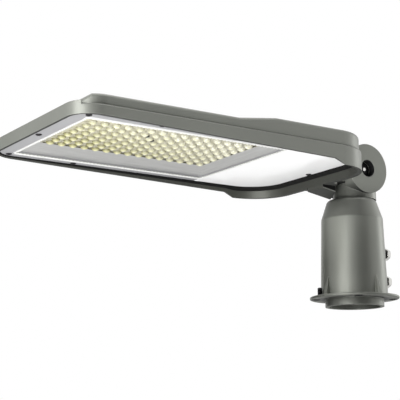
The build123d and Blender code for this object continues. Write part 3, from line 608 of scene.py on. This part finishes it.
# Powder coat of the rim: as on the cover, and on faces that look inward it turns dark as painted shade
inward_shade_turn = (-0.25, -0.6)
rim_coat = head_coat.copy()
rim_coat.name = "powder_coat_grey_shaded_inside"
rim_shader = rim_coat.node_tree.nodes["Principled BSDF"]
rim_low, rim_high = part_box("window_bezel")
rim_middle = Vector(((rim_low.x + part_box("gear_door")[1].x) / 2, 0, 0))
rim_halves = (rim_middle.x - rim_low.x, rim_high.y, 1.0)
coords = add_node(rim_coat, "ShaderNodeTexCoord")
around = add_node(
    rim_coat,
    "ShaderNodeMapping",
    {"vector_type": "TEXTURE", "Location": rim_middle, "Scale": rim_halves},
    {"Vector": coords.outputs["Object"]},
)
flat_place = add_node(
    rim_coat, "ShaderNodeVectorMath", {"operation": "MULTIPLY", 1: (1, 1, 0)}, {0: around.outputs[0]}
)
outward = add_node(
    rim_coat,
    "ShaderNodeVectorMath",
    {"operation": "DOT_PRODUCT"},
    {0: flat_place.outputs[0], 1: coords.outputs["Normal"]},
)
# Faces that look inward are darkened: painted shade
inward_shade = add_node(
    rim_coat,
    "ShaderNodeMapRange",
    {"From Min": inward_shade_turn[0], "From Max": inward_shade_turn[1], "To Min": 0.0, "To Max": 1.0},
    {"Value": outward.outputs["Value"]},
)
inward_shaded = add_node(
    rim_coat,
    "ShaderNodeMix",
    {"data_type": "RGBA", 7: linear("#464742")},
    {0: inward_shade.outputs["Result"], 6: rim_shader.inputs["Base Color"].links[0].from_socket},
)
rim_coat.node_tree.links.new(inward_shaded.outputs[2], rim_shader.inputs["Base Color"])
dress(rim_coat, "body_frame")

# Side pads of the tongue
# Thin black rubber pads, cut from sheet and glued to both sides of the tongue under the rim.
# They are black as painted shade in the recess under the rim.

# Black rubber: extruded EPDM, matt, with faint dust and drawing lines about 1 mm apart
rubber_line = 0.001
rubber_dust = 0.015
black_rubber, rubber_shader = start_material(
    "black_epdm_rubber", "#101010", Roughness=0.8, IOR=1.5, Specular_IOR_Level=0.15
)
grain(black_rubber, rubber_shader, rubber_dust, 4, tones=("#0c0c0c", "#161615"))
grain(black_rubber, rubber_shader, rubber_line, relief=(0.2, 0.0001))

pad_thickness = 0.0003
pad_side = 0.0145
pad_outline = (
    (-0.0562, 0.1384),
    (-0.0374, 0.1352),
    (-0.0374, 0.148),
    (-0.0382, 0.1485),
    (-0.0495, 0.1485),
    (-0.0495, 0.1411),
    (-0.0562, 0.1411),
)
shape = bmesh.new()
for side in (-1, 1):
    near = [(x, side * pad_side, z) for x, z in pad_outline]
    far = [(x, side * (pad_side + pad_thickness), z) for x, z in pad_outline]
    loft(shape, [near, far])
make_piece("tongue_side_shade_pads", shape, "head", "black_rubber", black_rubber)

# Top cover, its gasket and its screws
# A die-cast aluminium lid with cooling fins, coated with the rim.
# Screws from below draw it down on a moulded grey silicone gasket.
dress(head_coat, "top_cover")
dress(stainless, "cover_screws")

# Grey rubber: moulded silicone between cover and rim, matt, close to the coat in tone
grey_rubber, grey_shader = start_material("grey_silicone_rubber", "#a1a39b", Roughness=0.7, IOR=1.41)
grain(grey_rubber, grey_shader, rubber_dust, 4, tones=("#9a9c94", "#a8aaa2"))
dress(grey_rubber, "cover_gasket")

# Heat spreader and reflector tray
# Plain aluminium sheet: a flat spreader behind the light board and a folded tray round the lens plate.
# The tray's walls are brushed along their length after folding.

# Brushed aluminium: streaks about 0.4 mm wide and 40 mm long, drawn 0.8 mm wide so that they show
brush_width = 0.0008
brush_length = 0.04
brush_end_turn = 0.1
brush_fine = 1 / brush_width
brush_long = 1 / brush_length
brushed, brushed_shader = start_material("brushed_aluminium", "#c2c2c1", Metallic=0.55, Roughness=0.4)
brushed_link = brushed.node_tree.links.new
place = add_node(brushed, "ShaderNodeTexCoord").outputs["Object"]
surface = add_node(brushed, "ShaderNodeNewGeometry")
facing = add_node(brushed, "ShaderNodeSeparateXYZ", (), {"Vector": surface.outputs["True Normal"]})
cross = add_node(brushed, "ShaderNodeMath", {"operation": "ABSOLUTE"}, {0: facing.outputs["X"]})
is_end = add_node(
    brushed, "ShaderNodeMath", {"operation": "GREATER_THAN", 1: brush_end_turn}, {0: cross.outputs[0]}
)
streaks = []
for stretch in ((brush_long, brush_fine, brush_fine), (brush_fine, brush_long, brush_fine)):
    stretched = add_node(brushed, "ShaderNodeMapping", {"Scale": stretch}, {"Vector": place})
    streaks.append(
        add_node(brushed, "ShaderNodeTexNoise", {"Scale": 1.0, "Detail": 3}, {"Vector": stretched.outputs[0]})
    )
streak = add_node(
    brushed,
    "ShaderNodeMix",
    {"data_type": "FLOAT"},
    {0: is_end.outputs[0], 2: streaks[0].outputs["Fac"], 3: streaks[1].outputs["Fac"]},
)
streak_tone = add_node(
    brushed,
    "ShaderNodeMix",
    {"data_type": "RGBA", 6: linear("#959594"), 7: linear("#c4c4c2")},
    {0: streak.outputs[0]},
)
streak_rough = add_node(
    brushed, "ShaderNodeMapRange", {"To Min": 0.3, "To Max": 0.5}, {"Value": streak.outputs[0]}
)
streak_bump = add_node(
    brushed, "ShaderNodeBump", {"Strength": 0.15, "Distance": 0.0001}, {"Height": streak.outputs[0]}
)
brushed_link(streak_tone.outputs[2], brushed_shader.inputs["Base Color"])
brushed_link(streak_rough.outputs["Result"], brushed_shader.inputs["Roughness"])
brushed_link(streak_bump.outputs["Normal"], brushed_shader.inputs["Normal"])
dress(brushed, "heat_spreader", "reflector_tray")

# Light board
# An aluminium-backed circuit board in cream-white solder mask.
# It is clamped between the spreader and the lens plate.

# White solder mask: slightly glossy, with track edges that stand up in a grid of about 7 mm
track_pitch = 0.0069
track_gap = 0.0004
solder_mask, mask_shader = start_material("white_solder_mask", "#faf6e0", Roughness=0.35, IOR=1.5)
place = add_node(solder_mask, "ShaderNodeTexCoord").outputs["Object"]
tracks = add_node(
    solder_mask,
    "ShaderNodeTexBrick",
    {
        "offset": 0.0,
        "Scale": 1.0,
        "Brick Width": track_pitch,
        "Row Height": track_pitch,
        "Mortar Size": track_gap,
        "Color1": linear("#fcf8e2"),
        "Color2": linear("#f8f4dc"),
        "Mortar": linear("#e6e1c4"),
    },
    {"Vector": place},
)
mask_bump = add_node(
    solder_mask,
    "ShaderNodeBump",
    {"Strength": 0.3, "Distance": 0.0001, "invert": True},
    {"Height": tracks.outputs["Fac"]},
)
solder_mask.node_tree.links.new(tracks.outputs["Color"], mask_shader.inputs["Base Color"])
solder_mask.node_tree.links.new(mask_bump.outputs["Normal"], mask_shader.inputs["Normal"])
dress(solder_mask, "led_board")

# Emitters
# Surface-mounted light chips, soldered to the board under each lens.
# Each is a square body of white ceramic with a round window of phosphor in silicone.

# Phosphor: yellow powder in clear silicone, matt, uneven at about 0.5 mm
phosphor_grain = 0.0005
phosphor, phosphor_shader = start_material("phosphor_silicone", "#e3c93a", Roughness=0.45, IOR=1.41)
grain(phosphor, phosphor_shader, phosphor_grain, tones=("#d8bd2f", "#ecd650"))

# Ceramic: fired alumina, matt white with a fine grain
ceramic_grain = 0.0004
ceramic, ceramic_shader = start_material("white_ceramic", "#e9e7df", Roughness=0.55, IOR=1.6)
grain(ceramic, ceramic_shader, ceramic_grain, relief=(0.1, 0.00005))


def square(half, height, corner, count=small_ring):
    """One ring of a square with rounded corners."""
    ring = []
    for i in range(count):
        turn = 2 * math.pi * (i + 0.5) / count
        east, north = math.cos(turn), math.sin(turn)
        reach = half / max(abs(east), abs(north))
        reach = min(reach, half * math.sqrt(2) - corner * (math.sqrt(2) - 1))
        ring.append((reach * east, reach * north, height))
    return ring


chip_corner = 0.0003
chip_edge = 0.0002
chip_window = 0.8
chip_window_depth = 0.0003
chip_window_taper = 0.96
chip_fill_gap = 0.00001
chip_fill_depth = 0.0001
chip_boxes = solids("emitters")
shape = bmesh.new()
for low, high in chip_boxes:
    half = (high.x - low.x) / 2
    window_r = half * chip_window
    at = Matrix.Translation(((low.x + high.x) / 2, (low.y + high.y) / 2, 0))
    rings = [
        square(half, high.z, chip_corner),
        square(half, low.z + chip_edge, chip_corner),
        square(half - chip_edge, low.z, chip_corner),
        circle(window_r, low.z, small_ring),
        circle(window_r * chip_window_taper, low.z + chip_window_depth, small_ring),
    ]
    loft(shape, rings, at)
    rings = [
        circle(window_r * chip_window_taper, low.z + chip_window_depth + chip_fill_gap, small_ring),
        circle(window_r * 0.9, low.z + chip_fill_depth, small_ring),
    ]
    loft(shape, rings, at, 1)
chips = make_piece("emitter_chips", shape, "head", "emitter_phosphor", ceramic, phosphor)
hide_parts("emitters")

# Lens gasket and lens plate
# One clear acrylic moulding with a domed lens under each chip, on a white silicone gasket.
# Each dome magnifies its chip, so it shows the phosphor's yellow over most of its face.

# Silicone rubber: white, matt, slightly waxy
silicone_grain = 0.0008
silicone, silicone_shader = start_material(
    "white_silicone_rubber", "#d4d4d2", Roughness=0.5, IOR=1.41, Subsurface_Weight=0.1
)
silicone_shader.inputs["Subsurface Radius"].default_value = (0.001, 0.001, 0.001)
grain(silicone, silicone_shader, silicone_grain, relief=(0.1, 0.0001))
dress(silicone, "lens_gasket")

# Acrylic: injection moulded, clear and glossy, with flow ripples about 9 mm long
acrylic_flow = 0.009
acrylic_ior = 1.49
acrylic_haze = 0.12
acrylic, acrylic_shader = start_material("clear_acrylic", "#f2eed8", Roughness=0.06, IOR=acrylic_ior)
grain(acrylic, acrylic_shader, acrylic_flow, 1, relief=(0.05, 0.0005))
mirror = add_node(acrylic, "ShaderNodeFresnel", {"IOR": acrylic_ior})
cover = add_node(
    acrylic, "ShaderNodeMapRange", {"To Min": acrylic_haze, "To Max": 1.0}, {"Value": mirror.outputs["Fac"]}
)
acrylic.node_tree.links.new(cover.outputs["Result"], acrylic_shader.inputs["Alpha"])

# Lens dome: the same acrylic over the chip; painted refraction and shade give it a pale crown in the
# phosphor's yellow and a dull olive flank;
# towards the plate's rear corner the domes are painted paler as painted light, with painted glints in a noise
# of about 2 mm
dome_shade_bands = ((0.0, "#86836b"), (0.25, "#74714c"), (0.6, "#99966c"), (0.85, "#bfbc90"), (1.0, "#d7d4af"))
lit_side = (0.5, -0.85, 0)
painted_light_start = -0.2
painted_light_full = -0.06
painted_light_most = 0.6
painted_glint_size = 0.0022
painted_glint_from = 0.5
painted_glint_full = 0.66
dome, dome_shader = start_material("acrylic_dome_over_phosphor", "#cfcda4", Roughness=0.1, IOR=acrylic_ior)
height_in_dome = add_node(dome, "ShaderNodeAttribute", {"attribute_name": "dome_height"})
dome_painted_shade = add_node(dome, "ShaderNodeValToRGB", (), {"Fac": height_in_dome.outputs["Fac"]})
for i, (height, colour) in enumerate(dome_shade_bands):
    stop = dome_painted_shade.color_ramp.elements[i] if i < 2 else dome_painted_shade.color_ramp.elements.new(height)
    stop.position = height
    stop.color = linear(colour)
place = add_node(dome, "ShaderNodeTexCoord").outputs["Object"]
# Towards the plate's rear corner the domes are painted paler: painted light
toward_lit_side = add_node(
    dome, "ShaderNodeVectorMath", {"operation": "DOT_PRODUCT", 1: lit_side}, {0: place}
)
painted_light = add_node(
    dome,
    "ShaderNodeMapRange",
    {"From Min": painted_light_start, "From Max": painted_light_full, "To Min": 0.0, "To Max": painted_light_most},
    {"Value": toward_lit_side.outputs["Value"]},
)
painted_lit = add_node(
    dome,
    "ShaderNodeMix",
    {"data_type": "RGBA", 7: linear("#d6d4c6")},
    {0: painted_light.outputs["Result"], 6: dome_painted_shade.outputs["Color"]},
)
# Near-white specks in a noise of about 2 mm: painted glints
painted_glint_noise = add_node(dome, "ShaderNodeTexNoise", {"Scale": 1 / painted_glint_size, "Detail": 2}, {"Vector": place})
painted_glint = add_node(
    dome,
    "ShaderNodeMapRange",
    {"From Min": painted_glint_from, "From Max": painted_glint_full, "To Min": 0.0, "To Max": 1.0},
    {"Value": painted_glint_noise.outputs["Fac"]},
)
painted_glint_share = add_node(
    dome, "ShaderNodeMath", {"operation": "MULTIPLY"}, {0: painted_glint.outputs["Result"], 1: painted_light.outputs["Result"]}
)
painted_glinted = add_node(
    dome,
    "ShaderNodeMix",
    {"data_type": "RGBA", 7: linear("#faf9f0")},
    {0: painted_glint_share.outputs[0], 6: painted_lit.outputs[2]},
)
dome.node_tree.links.new(painted_glinted.outputs[2], dome_shader.inputs["Base Color"])

plate_low, plate_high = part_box("lens_plate")
dome_r = 0.0048
dome_height = 0.0036
dome_rings = 9
dome_close = 0.97
plate_edge = 0.0004
plate_face = plate_low.z + dome_height
plate_middle = (plate_low + plate_high) / 2
plate_half = (plate_high - plate_low) / 2
plate_profile = (
    (plate_edge, plate_high.z),
    (0, plate_high.z - plate_edge),
    (0, plate_face + plate_edge),
    (plate_edge, plate_face),
)
shape = bmesh.new()
rings = []
for inset, level in plate_profile:
    x, y = plate_half.x - inset, plate_half.y - inset
    rings.append([(x, y, level), (-x, y, level), (-x, -y, level), (x, -y, level)])
loft(shape, rings, Matrix.Translation((plate_middle.x, plate_middle.y, 0)))
dome_layer = shape.verts.layers.float.new("dome_height")
for low, high in chip_boxes:
    at = Matrix.Translation(((low.x + high.x) / 2, (low.y + high.y) / 2, 0))
    rings = []
    for i in range(dome_rings):
        rise = i / (dome_rings - 1) * math.pi / 2 * dome_close
        level = plate_face - dome_height * math.sin(rise)
        rings.append(circle(dome_r * math.cos(rise), level, small_ring))
    for face in loft(shape, rings, at, 1):
        for vert in face.verts:
            vert[dome_layer] = (plate_face - vert.co.z) / dome_height
lens = make_piece("lens_plate_domes", shape, "head", "clear_lens", acrylic, dome)
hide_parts("lens_plate")

# Lens screws
# Two blackened steel pan-head screws in the middle of the lens plate.
# They pull it flat against its gasket.


def pan_head(shape, at, radius, height, socket, shank_r, shank):
    """A low domed screw head under a plate, with a hexagon socket, and its shank above the plate."""
    turned = (
        (shank_r * 0.7, shank),
        (shank_r, shank - shank_r * 0.3),
        (shank_r, 0),
        (radius, 0),
        (radius, -height * 0.25),
        (radius * 0.93, -height * 0.6),
        (radius * 0.75, -height * 0.88),
        (radius * 0.6, -height),
    )
    rings = [circle(r, level, small_ring) for r, level in turned]
    rings += [hexagon(socket, -height, small_ring), hexagon(socket, -height * 0.25, small_ring)]
    loft(shape, rings, at)


lens_screw_r = 0.0028
lens_screw_socket = 0.0024
lens_screw_shank_r = 0.0015
lens_screw_stand = 0.0004
shape = bmesh.new()
for low, high in solids("lens_screws"):
    at = Matrix.Translation(((low.x + high.x) / 2, (low.y + high.y) / 2, plate_face))
    height = plate_face - low.z + lens_screw_stand
    pan_head(shape, at, lens_screw_r, height, lens_screw_socket, lens_screw_shank_r, high.z - plate_face)
lens_screw = make_piece("lens_screw_pan", shape, "head", "black_steel", black_oxide)
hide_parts("lens_screws")

# Dark edge strips of the lens plate
# Two dark olive strips on the lens plate, along its far side and its rear end, which darken these edges.
# They are mitred at the corner.

# Dark olive strip: satin, with a slightly wavy surface of about 3 mm
edge_strip_wave = 0.003
dark_edge_strip, dark_edge_strip_shader = start_material("dark_olive_edge_strip", "#4a4836", Roughness=0.45, IOR=1.41)
grain(dark_edge_strip, dark_edge_strip_shader, edge_strip_wave, relief=(0.4, 0.0003))

edge_strip_inset = 0.0034
edge_strip_width = 0.0012
edge_strip_height = 0.0011
edge_strip_profile = ((0, 0.1), (0, -0.7), (0.25, -1), (0.75, -1), (1, -0.7), (1, 0.1))
shape = bmesh.new()
for along, beside in ((0, 1), (1, 0)):
    rings = []
    for end, mitre in ((plate_low[along] + edge_strip_inset, 0), (plate_high[along] - edge_strip_inset, 1)):
        ring = []
        for across, down in edge_strip_profile:
            spot = Vector((0, 0, plate_face + down * edge_strip_height))
            spot[along] = end - mitre * across * edge_strip_width
            spot[beside] = plate_high[beside] - edge_strip_inset - across * edge_strip_width
            ring.append(spot)
        rings.append(ring)
    loft(shape, rings)
make_piece("lens_edge_strip", shape, "head", "black_rubber", dark_edge_strip)

# Window bezel
# A flat aluminium plate with the window cut in it, screwed up against the rim.
# It is satin painted in light grey.

# Satin paint: light grey, low sheen, with fine spray texture of about 1 mm and faint clouds of 50 mm
spray = 0.001
spray_cloud = 0.05
satin_paint, satin_shader = start_material("satin_paint_light_grey", "#8c8c8e", Roughness=0.42, IOR=1.5)
grain(satin_paint, satin_shader, spray, relief=(0.1, 0.0001))
grain(satin_paint, satin_shader, spray_cloud, tones=("#878789", "#919193"))
dress(satin_paint, "window_bezel")

# Window trim
# A moulded white silicone bead that edges the window and seals it against the bezel, wider on the long sides.
# Short ribs on its inner side press on the reflector tray, over a grey foot that is painted shade between the
# ribs.
trim_offset = Vector((0.0008, 0.0008, 0))
trim_low, trim_high = (corner + trim_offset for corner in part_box("window_trim"))
trim_width = 0.0012
trim_border = 0.0013
trim_side_border = -0.0012
trim_corner = 0.0062
trim_height = trim_high.z - trim_low.z
trim_steps = 8
trim_fullness = 0.6
rib_pitch = 0.0044
rib_width = 0.002
rib_reach = 0.0016
rib_drop = trim_height * 0.7
rib_round = 0.0002
shade_foot_thickness = 0.0002
inner_edge = trim_border + trim_width
rib_root = inner_edge - trim_width / 2
rib_tip = inner_edge + rib_reach


def rounded_path(low, high, corner, steps=8):
    """Points round a rectangle with rounded corners, each with its outward direction."""
    path = []
    for x, y, start in ((1, 1, 0), (-1, 1, 90), (-1, -1, 180), (1, -1, 270)):
        end_x = high.x if x > 0 else low.x
        end_y = high.y if y > 0 else low.y
        centre = Vector((end_x - x * corner, end_y - y * corner))
        for i in range(steps + 1):
            turn = math.radians(start + 90 * i / steps)
            out = Vector((math.cos(turn), math.sin(turn)))
            path.append((centre + corner * out, out))
    return path


trim_path = rounded_path(trim_low, trim_high, trim_corner)
shape = bmesh.new()
rows = []
for point, out in trim_path:
    outer_edge = trim_border + (trim_side_border - trim_border) * abs(out.y)
    row = []
    for i in range(trim_steps + 1):
        turn = math.pi * i / trim_steps
        inward = (inner_edge - outer_edge) / 2 * (1 - math.cos(turn))
        drop = trim_height * math.sin(turn) ** trim_fullness
        spot = point - out * (outer_edge + inward)
        row.append((spot.x, spot.y, trim_high.z - drop))
    rows.append(row)
ring_skin(shape, rows)
for across, along in ((0, 1), (1, 0)):
    run_low = trim_low[along] + inner_edge + trim_corner
    run_high = trim_high[along] - inner_edge - trim_corner
    count = int((run_high - run_low) / rib_pitch)
    for edge, inward in ((trim_low[across], 1), (trim_high[across], -1)):
        for i in range(count + 1):
            middle = (run_low + run_high) / 2 + (i - count / 2) * rib_pitch
            rings = []
            for drop, margin in ((0.0, 0.0), (rib_drop - rib_round, 0.0), (rib_drop, rib_round)):
                root = edge + inward * rib_root
                tip = edge + inward * (rib_tip - margin)
                left, right = middle - rib_width / 2 + margin, middle + rib_width / 2 - margin
                ring = ((root, left), (root, right), (tip, right), (tip, left))
                level = trim_high.z - drop
                rings.append([(b, a, level) if across else (a, b, level) for a, b in ring])
            loft(shape, rings)
# The grey foot under the ribs: painted shade between them
shade_foot = ((rib_root, 0.0), (rib_tip, 0.0), (rib_tip, shade_foot_thickness), (rib_root, shade_foot_thickness))
rows = []
for point, out in trim_path:
    spots = [(point - out * inset, trim_high.z - drop) for inset, drop in shade_foot]
    rows.append([(spot.x, spot.y, level) for spot, level in spots])
ring_skin(shape, rows, smooth=False, material_index=1)
trim = make_piece("window_trim_bead", shape, "head", "white_silicone", silicone, grey_rubber)
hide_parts("window_trim")

# Bezel and door screws
# Blackened steel pan-head screws with hexagon sockets.
# Five hold the bezel up against the rim, and one holds the gear door.
panel_screw_r = 0.0034
panel_screw_socket = 0.0028
panel_screw_shank_r = 0.002
panel_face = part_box("window_bezel")[0].z
for name, piece_name in (("bezel_screws", "bezel_screws_pan"), ("door_screws", "door_screw_pan")):
    shape = bmesh.new()
    for low, high in solids(name):
        at = Matrix.Translation(((low.x + high.x) / 2, (low.y + high.y) / 2, panel_face))
        height, shank = panel_face - low.z, high.z - panel_face
        pan_head(shape, at, panel_screw_r, height, panel_screw_socket, panel_screw_shank_r, shank)
    screws = make_piece(piece_name, shape, "head", "black_steel", black_oxide)
    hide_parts(name)

# Panel seal
# An extruded black rubber strip, stuck to the inner wall of the rim.
# It fills the gap round the bezel and the door.
dress(black_rubber, "panel_seal")

# Gear door
# A flat aluminium plate over the gear compartment, hooked in at its front and screwed at its rear.
# It is stove enamelled in gloss white.

# Stove enamel: white, high gloss, with a faint orange peel of about 3 mm
enamel_peel = 0.003
enamel, enamel_shader = start_material("white_stove_enamel", "#fafafa", Roughness=0.12, IOR=1.52)
grain(enamel, enamel_shader, enamel_peel, 1, tones=("#f8f8f8", "#fcfcfc"), relief=(0.04, 0.0002))
dress(enamel, "gear_door")

# Seam strip
# A thin strip of sheet aluminium, enamelled with the door and glued over the bezel's rear bar.
# It makes the bar read as one with the door.
strip_thickness = 0.0004
strip_margin = 0.0005
bezel_low, bezel_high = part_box("window_bezel")
strip_front = trim_high.x - trim_border
strip_half = bezel_high.y - strip_margin
strip_corners = (
    (strip_front, -strip_half),
    (bezel_high.x, -strip_half),
    (bezel_high.x, strip_half),
    (strip_front, strip_half),
)
shape = bmesh.new()
strip_levels = (bezel_low.z, bezel_low.z - strip_thickness)
loft(shape, [[(x, y, level) for x, y in strip_corners] for level in strip_levels])
make_piece("seam_strip", shape, "head", "white_gloss_plate", enamel)

# Gear: driver, surge protector and terminal block
# The driver is a drawn aluminium case, screwed to the cover's roof.
# The surge protector and the terminal block beside it are moulded white nylon.
dress(brushed, "led_driver")
dress(stainless, "driver_screws")

# Nylon: moulded, satin white, with the same eroded texture
nylon, nylon_shader = start_material("white_nylon", "#dddcd6", Roughness=0.5, IOR=1.53)
grain(nylon, nylon_shader, nylon_texture, relief=(0.15, 0.0001))
dress(nylon, "surge_protector", "terminal_block")

# Cable gland and leads
# A moulded black nylon gland, held in the cover's rear wall by its lock nut.
# Rubber-sheathed leads run from it to the driver and on to the board.
dress(black_nylon, "cable_gland", "gland_nut")
dress(black_rubber, "supply_lead", "driver_leads", "board_leads")

# Studio
# A pale floor below the object, soft boxes above, below and at the sides, and an even pale room.
# Dark cards, out of the camera's sight, keep light off the near side, the far lip and the spigot.
floor_level = -0.45
floor_half = 5.0
corners = ((-1, -1), (1, -1), (1, 1), (-1, 1))


def make_sheet(name, half_width, half_height, material):
    """A flat rectangle for the studio."""
    shape = bmesh.new()
    shape.faces.new([shape.verts.new((x * half_width, y * half_height, 0)) for x, y in corners])
    mesh = bpy.data.meshes.new(name)
    shape.to_mesh(mesh)
    shape.free()
    mesh.materials.append(material)
    sheet = bpy.data.objects.new(name, mesh)
    scene.collection.objects.link(sheet)
    return sheet


def aim(thing, stand, target):
    """Put a lamp or a card at a place and turn its face to a target."""
    thing.location = stand
    thing.rotation_euler = (Vector(target) - Vector(stand)).to_track_quat("-Z", "Y").to_euler()
    thing.visible_camera = False


floor_paint, _ = start_material("floor_paint", "#f4f4f4", Roughness=0.8)
floor = make_sheet("floor", floor_half, floor_half, floor_paint)
floor.location.z = floor_level

soft_boxes = (
    ("top", (-0.3, 0.0, 2.4), (-0.2, 0.0, 0.0), 3.0, 3.0, 37),
    ("front", (-2.3, -0.5, 0.8), (-0.1, 0.0, 0.08), 1.6, 1.0, 31.5),
    ("rear", (2.0, -0.3, 0.4), (0.0, 0.0, 0.1), 0.6, 1.2, 7.5),
    ("low", (-0.6, -0.25, -0.43), (-0.2, 0.0, 0.15), 0.7, 0.7, 12.0),
)
for name, stand, target, width, height, power in soft_boxes:
    lamp = bpy.data.lights.new(name, "AREA")
    lamp.shape = "RECTANGLE"
    lamp.size = width
    lamp.size_y = height
    lamp.energy = power
    box = bpy.data.objects.new(name + "_soft_box", lamp)
    aim(box, stand, target)
    scene.collection.objects.link(box)

dark_cards = (
    ("near_card", (-0.25, -2.2, 0.9), (-0.25, 0.0, 0.5), 2.2, 3.6),
    ("far_card", (-0.4, 0.9, 0.1), (-0.05, 0.0, 0.06), 0.7, 0.9),
    ("canopy_card", (-1.6, -0.9, 1.9), (0.0, 0.0, 0.1), 1.8, 1.4),
    ("low_flag", (-0.11, -0.12, -0.11), (0.5, -0.12, -0.11), 0.5, 0.28),
)
for name, stand, target, width, height in dark_cards:
    felt, _ = start_material(name + "_felt", "#101010", Roughness=0.9)
    card = make_sheet(name, width / 2, height / 2, felt)
    aim(card, stand, target)
    card.visible_glossy = name != "low_flag"

room_light = 0.42
world = bpy.data.worlds.new("studio")
scene.world = world
world.use_nodes = True
air = world.node_tree.nodes["Background"]
air.inputs["Color"].default_value = (1, 1, 1, 1)
rays = add_node(world, "ShaderNodeLightPath")
seen = rays.outputs["Is Camera Ray"]
for kind in ("Is Glossy Ray", "Is Transmission Ray"):
    either = {0: seen, 1: rays.outputs[kind]}
    seen = add_node(world, "ShaderNodeMath", {"operation": "MAXIMUM"}, either).outputs[0]
brightness = add_node(world, "ShaderNodeMapRange", {"To Min": room_light, "To Max": 1.0}, {"Value": seen})
world.node_tree.links.new(brightness.outputs["Result"], air.inputs["Strength"])

# Camera
# It stands below the head and in front of it, on its near side, with a long lens.
# There the head, flange and knuckle fall on their places in the picture.
camera_place = Vector((-0.900, -1.020, -0.139))
view_turn = math.radians(33.64)
view_rise = math.radians(11.36)
view_roll = math.radians(-0.39)
image_size = 400
focal_pixels = 1128.3
forward = Vector(
    (
        math.sin(view_turn) * math.cos(view_rise),
        math.cos(view_turn) * math.cos(view_rise),
        math.sin(view_rise),
    )
)
level_right = Vector((math.cos(view_turn), -math.sin(view_turn), 0))
level_up = level_right.cross(forward)
right = level_right * math.cos(view_roll) + level_up * math.sin(view_roll)
up = right.cross(forward)
camera_data = bpy.data.cameras.new("camera")
camera_data.sensor_width = 36
camera_data.lens = focal_pixels / image_size * camera_data.sensor_width
camera = bpy.data.objects.new("camera", camera_data)
camera.matrix_world = Matrix.Translation(camera_place) @ Matrix((right, up, -forward)).transposed().to_4x4()
scene.collection.objects.link(camera)
scene.camera = camera
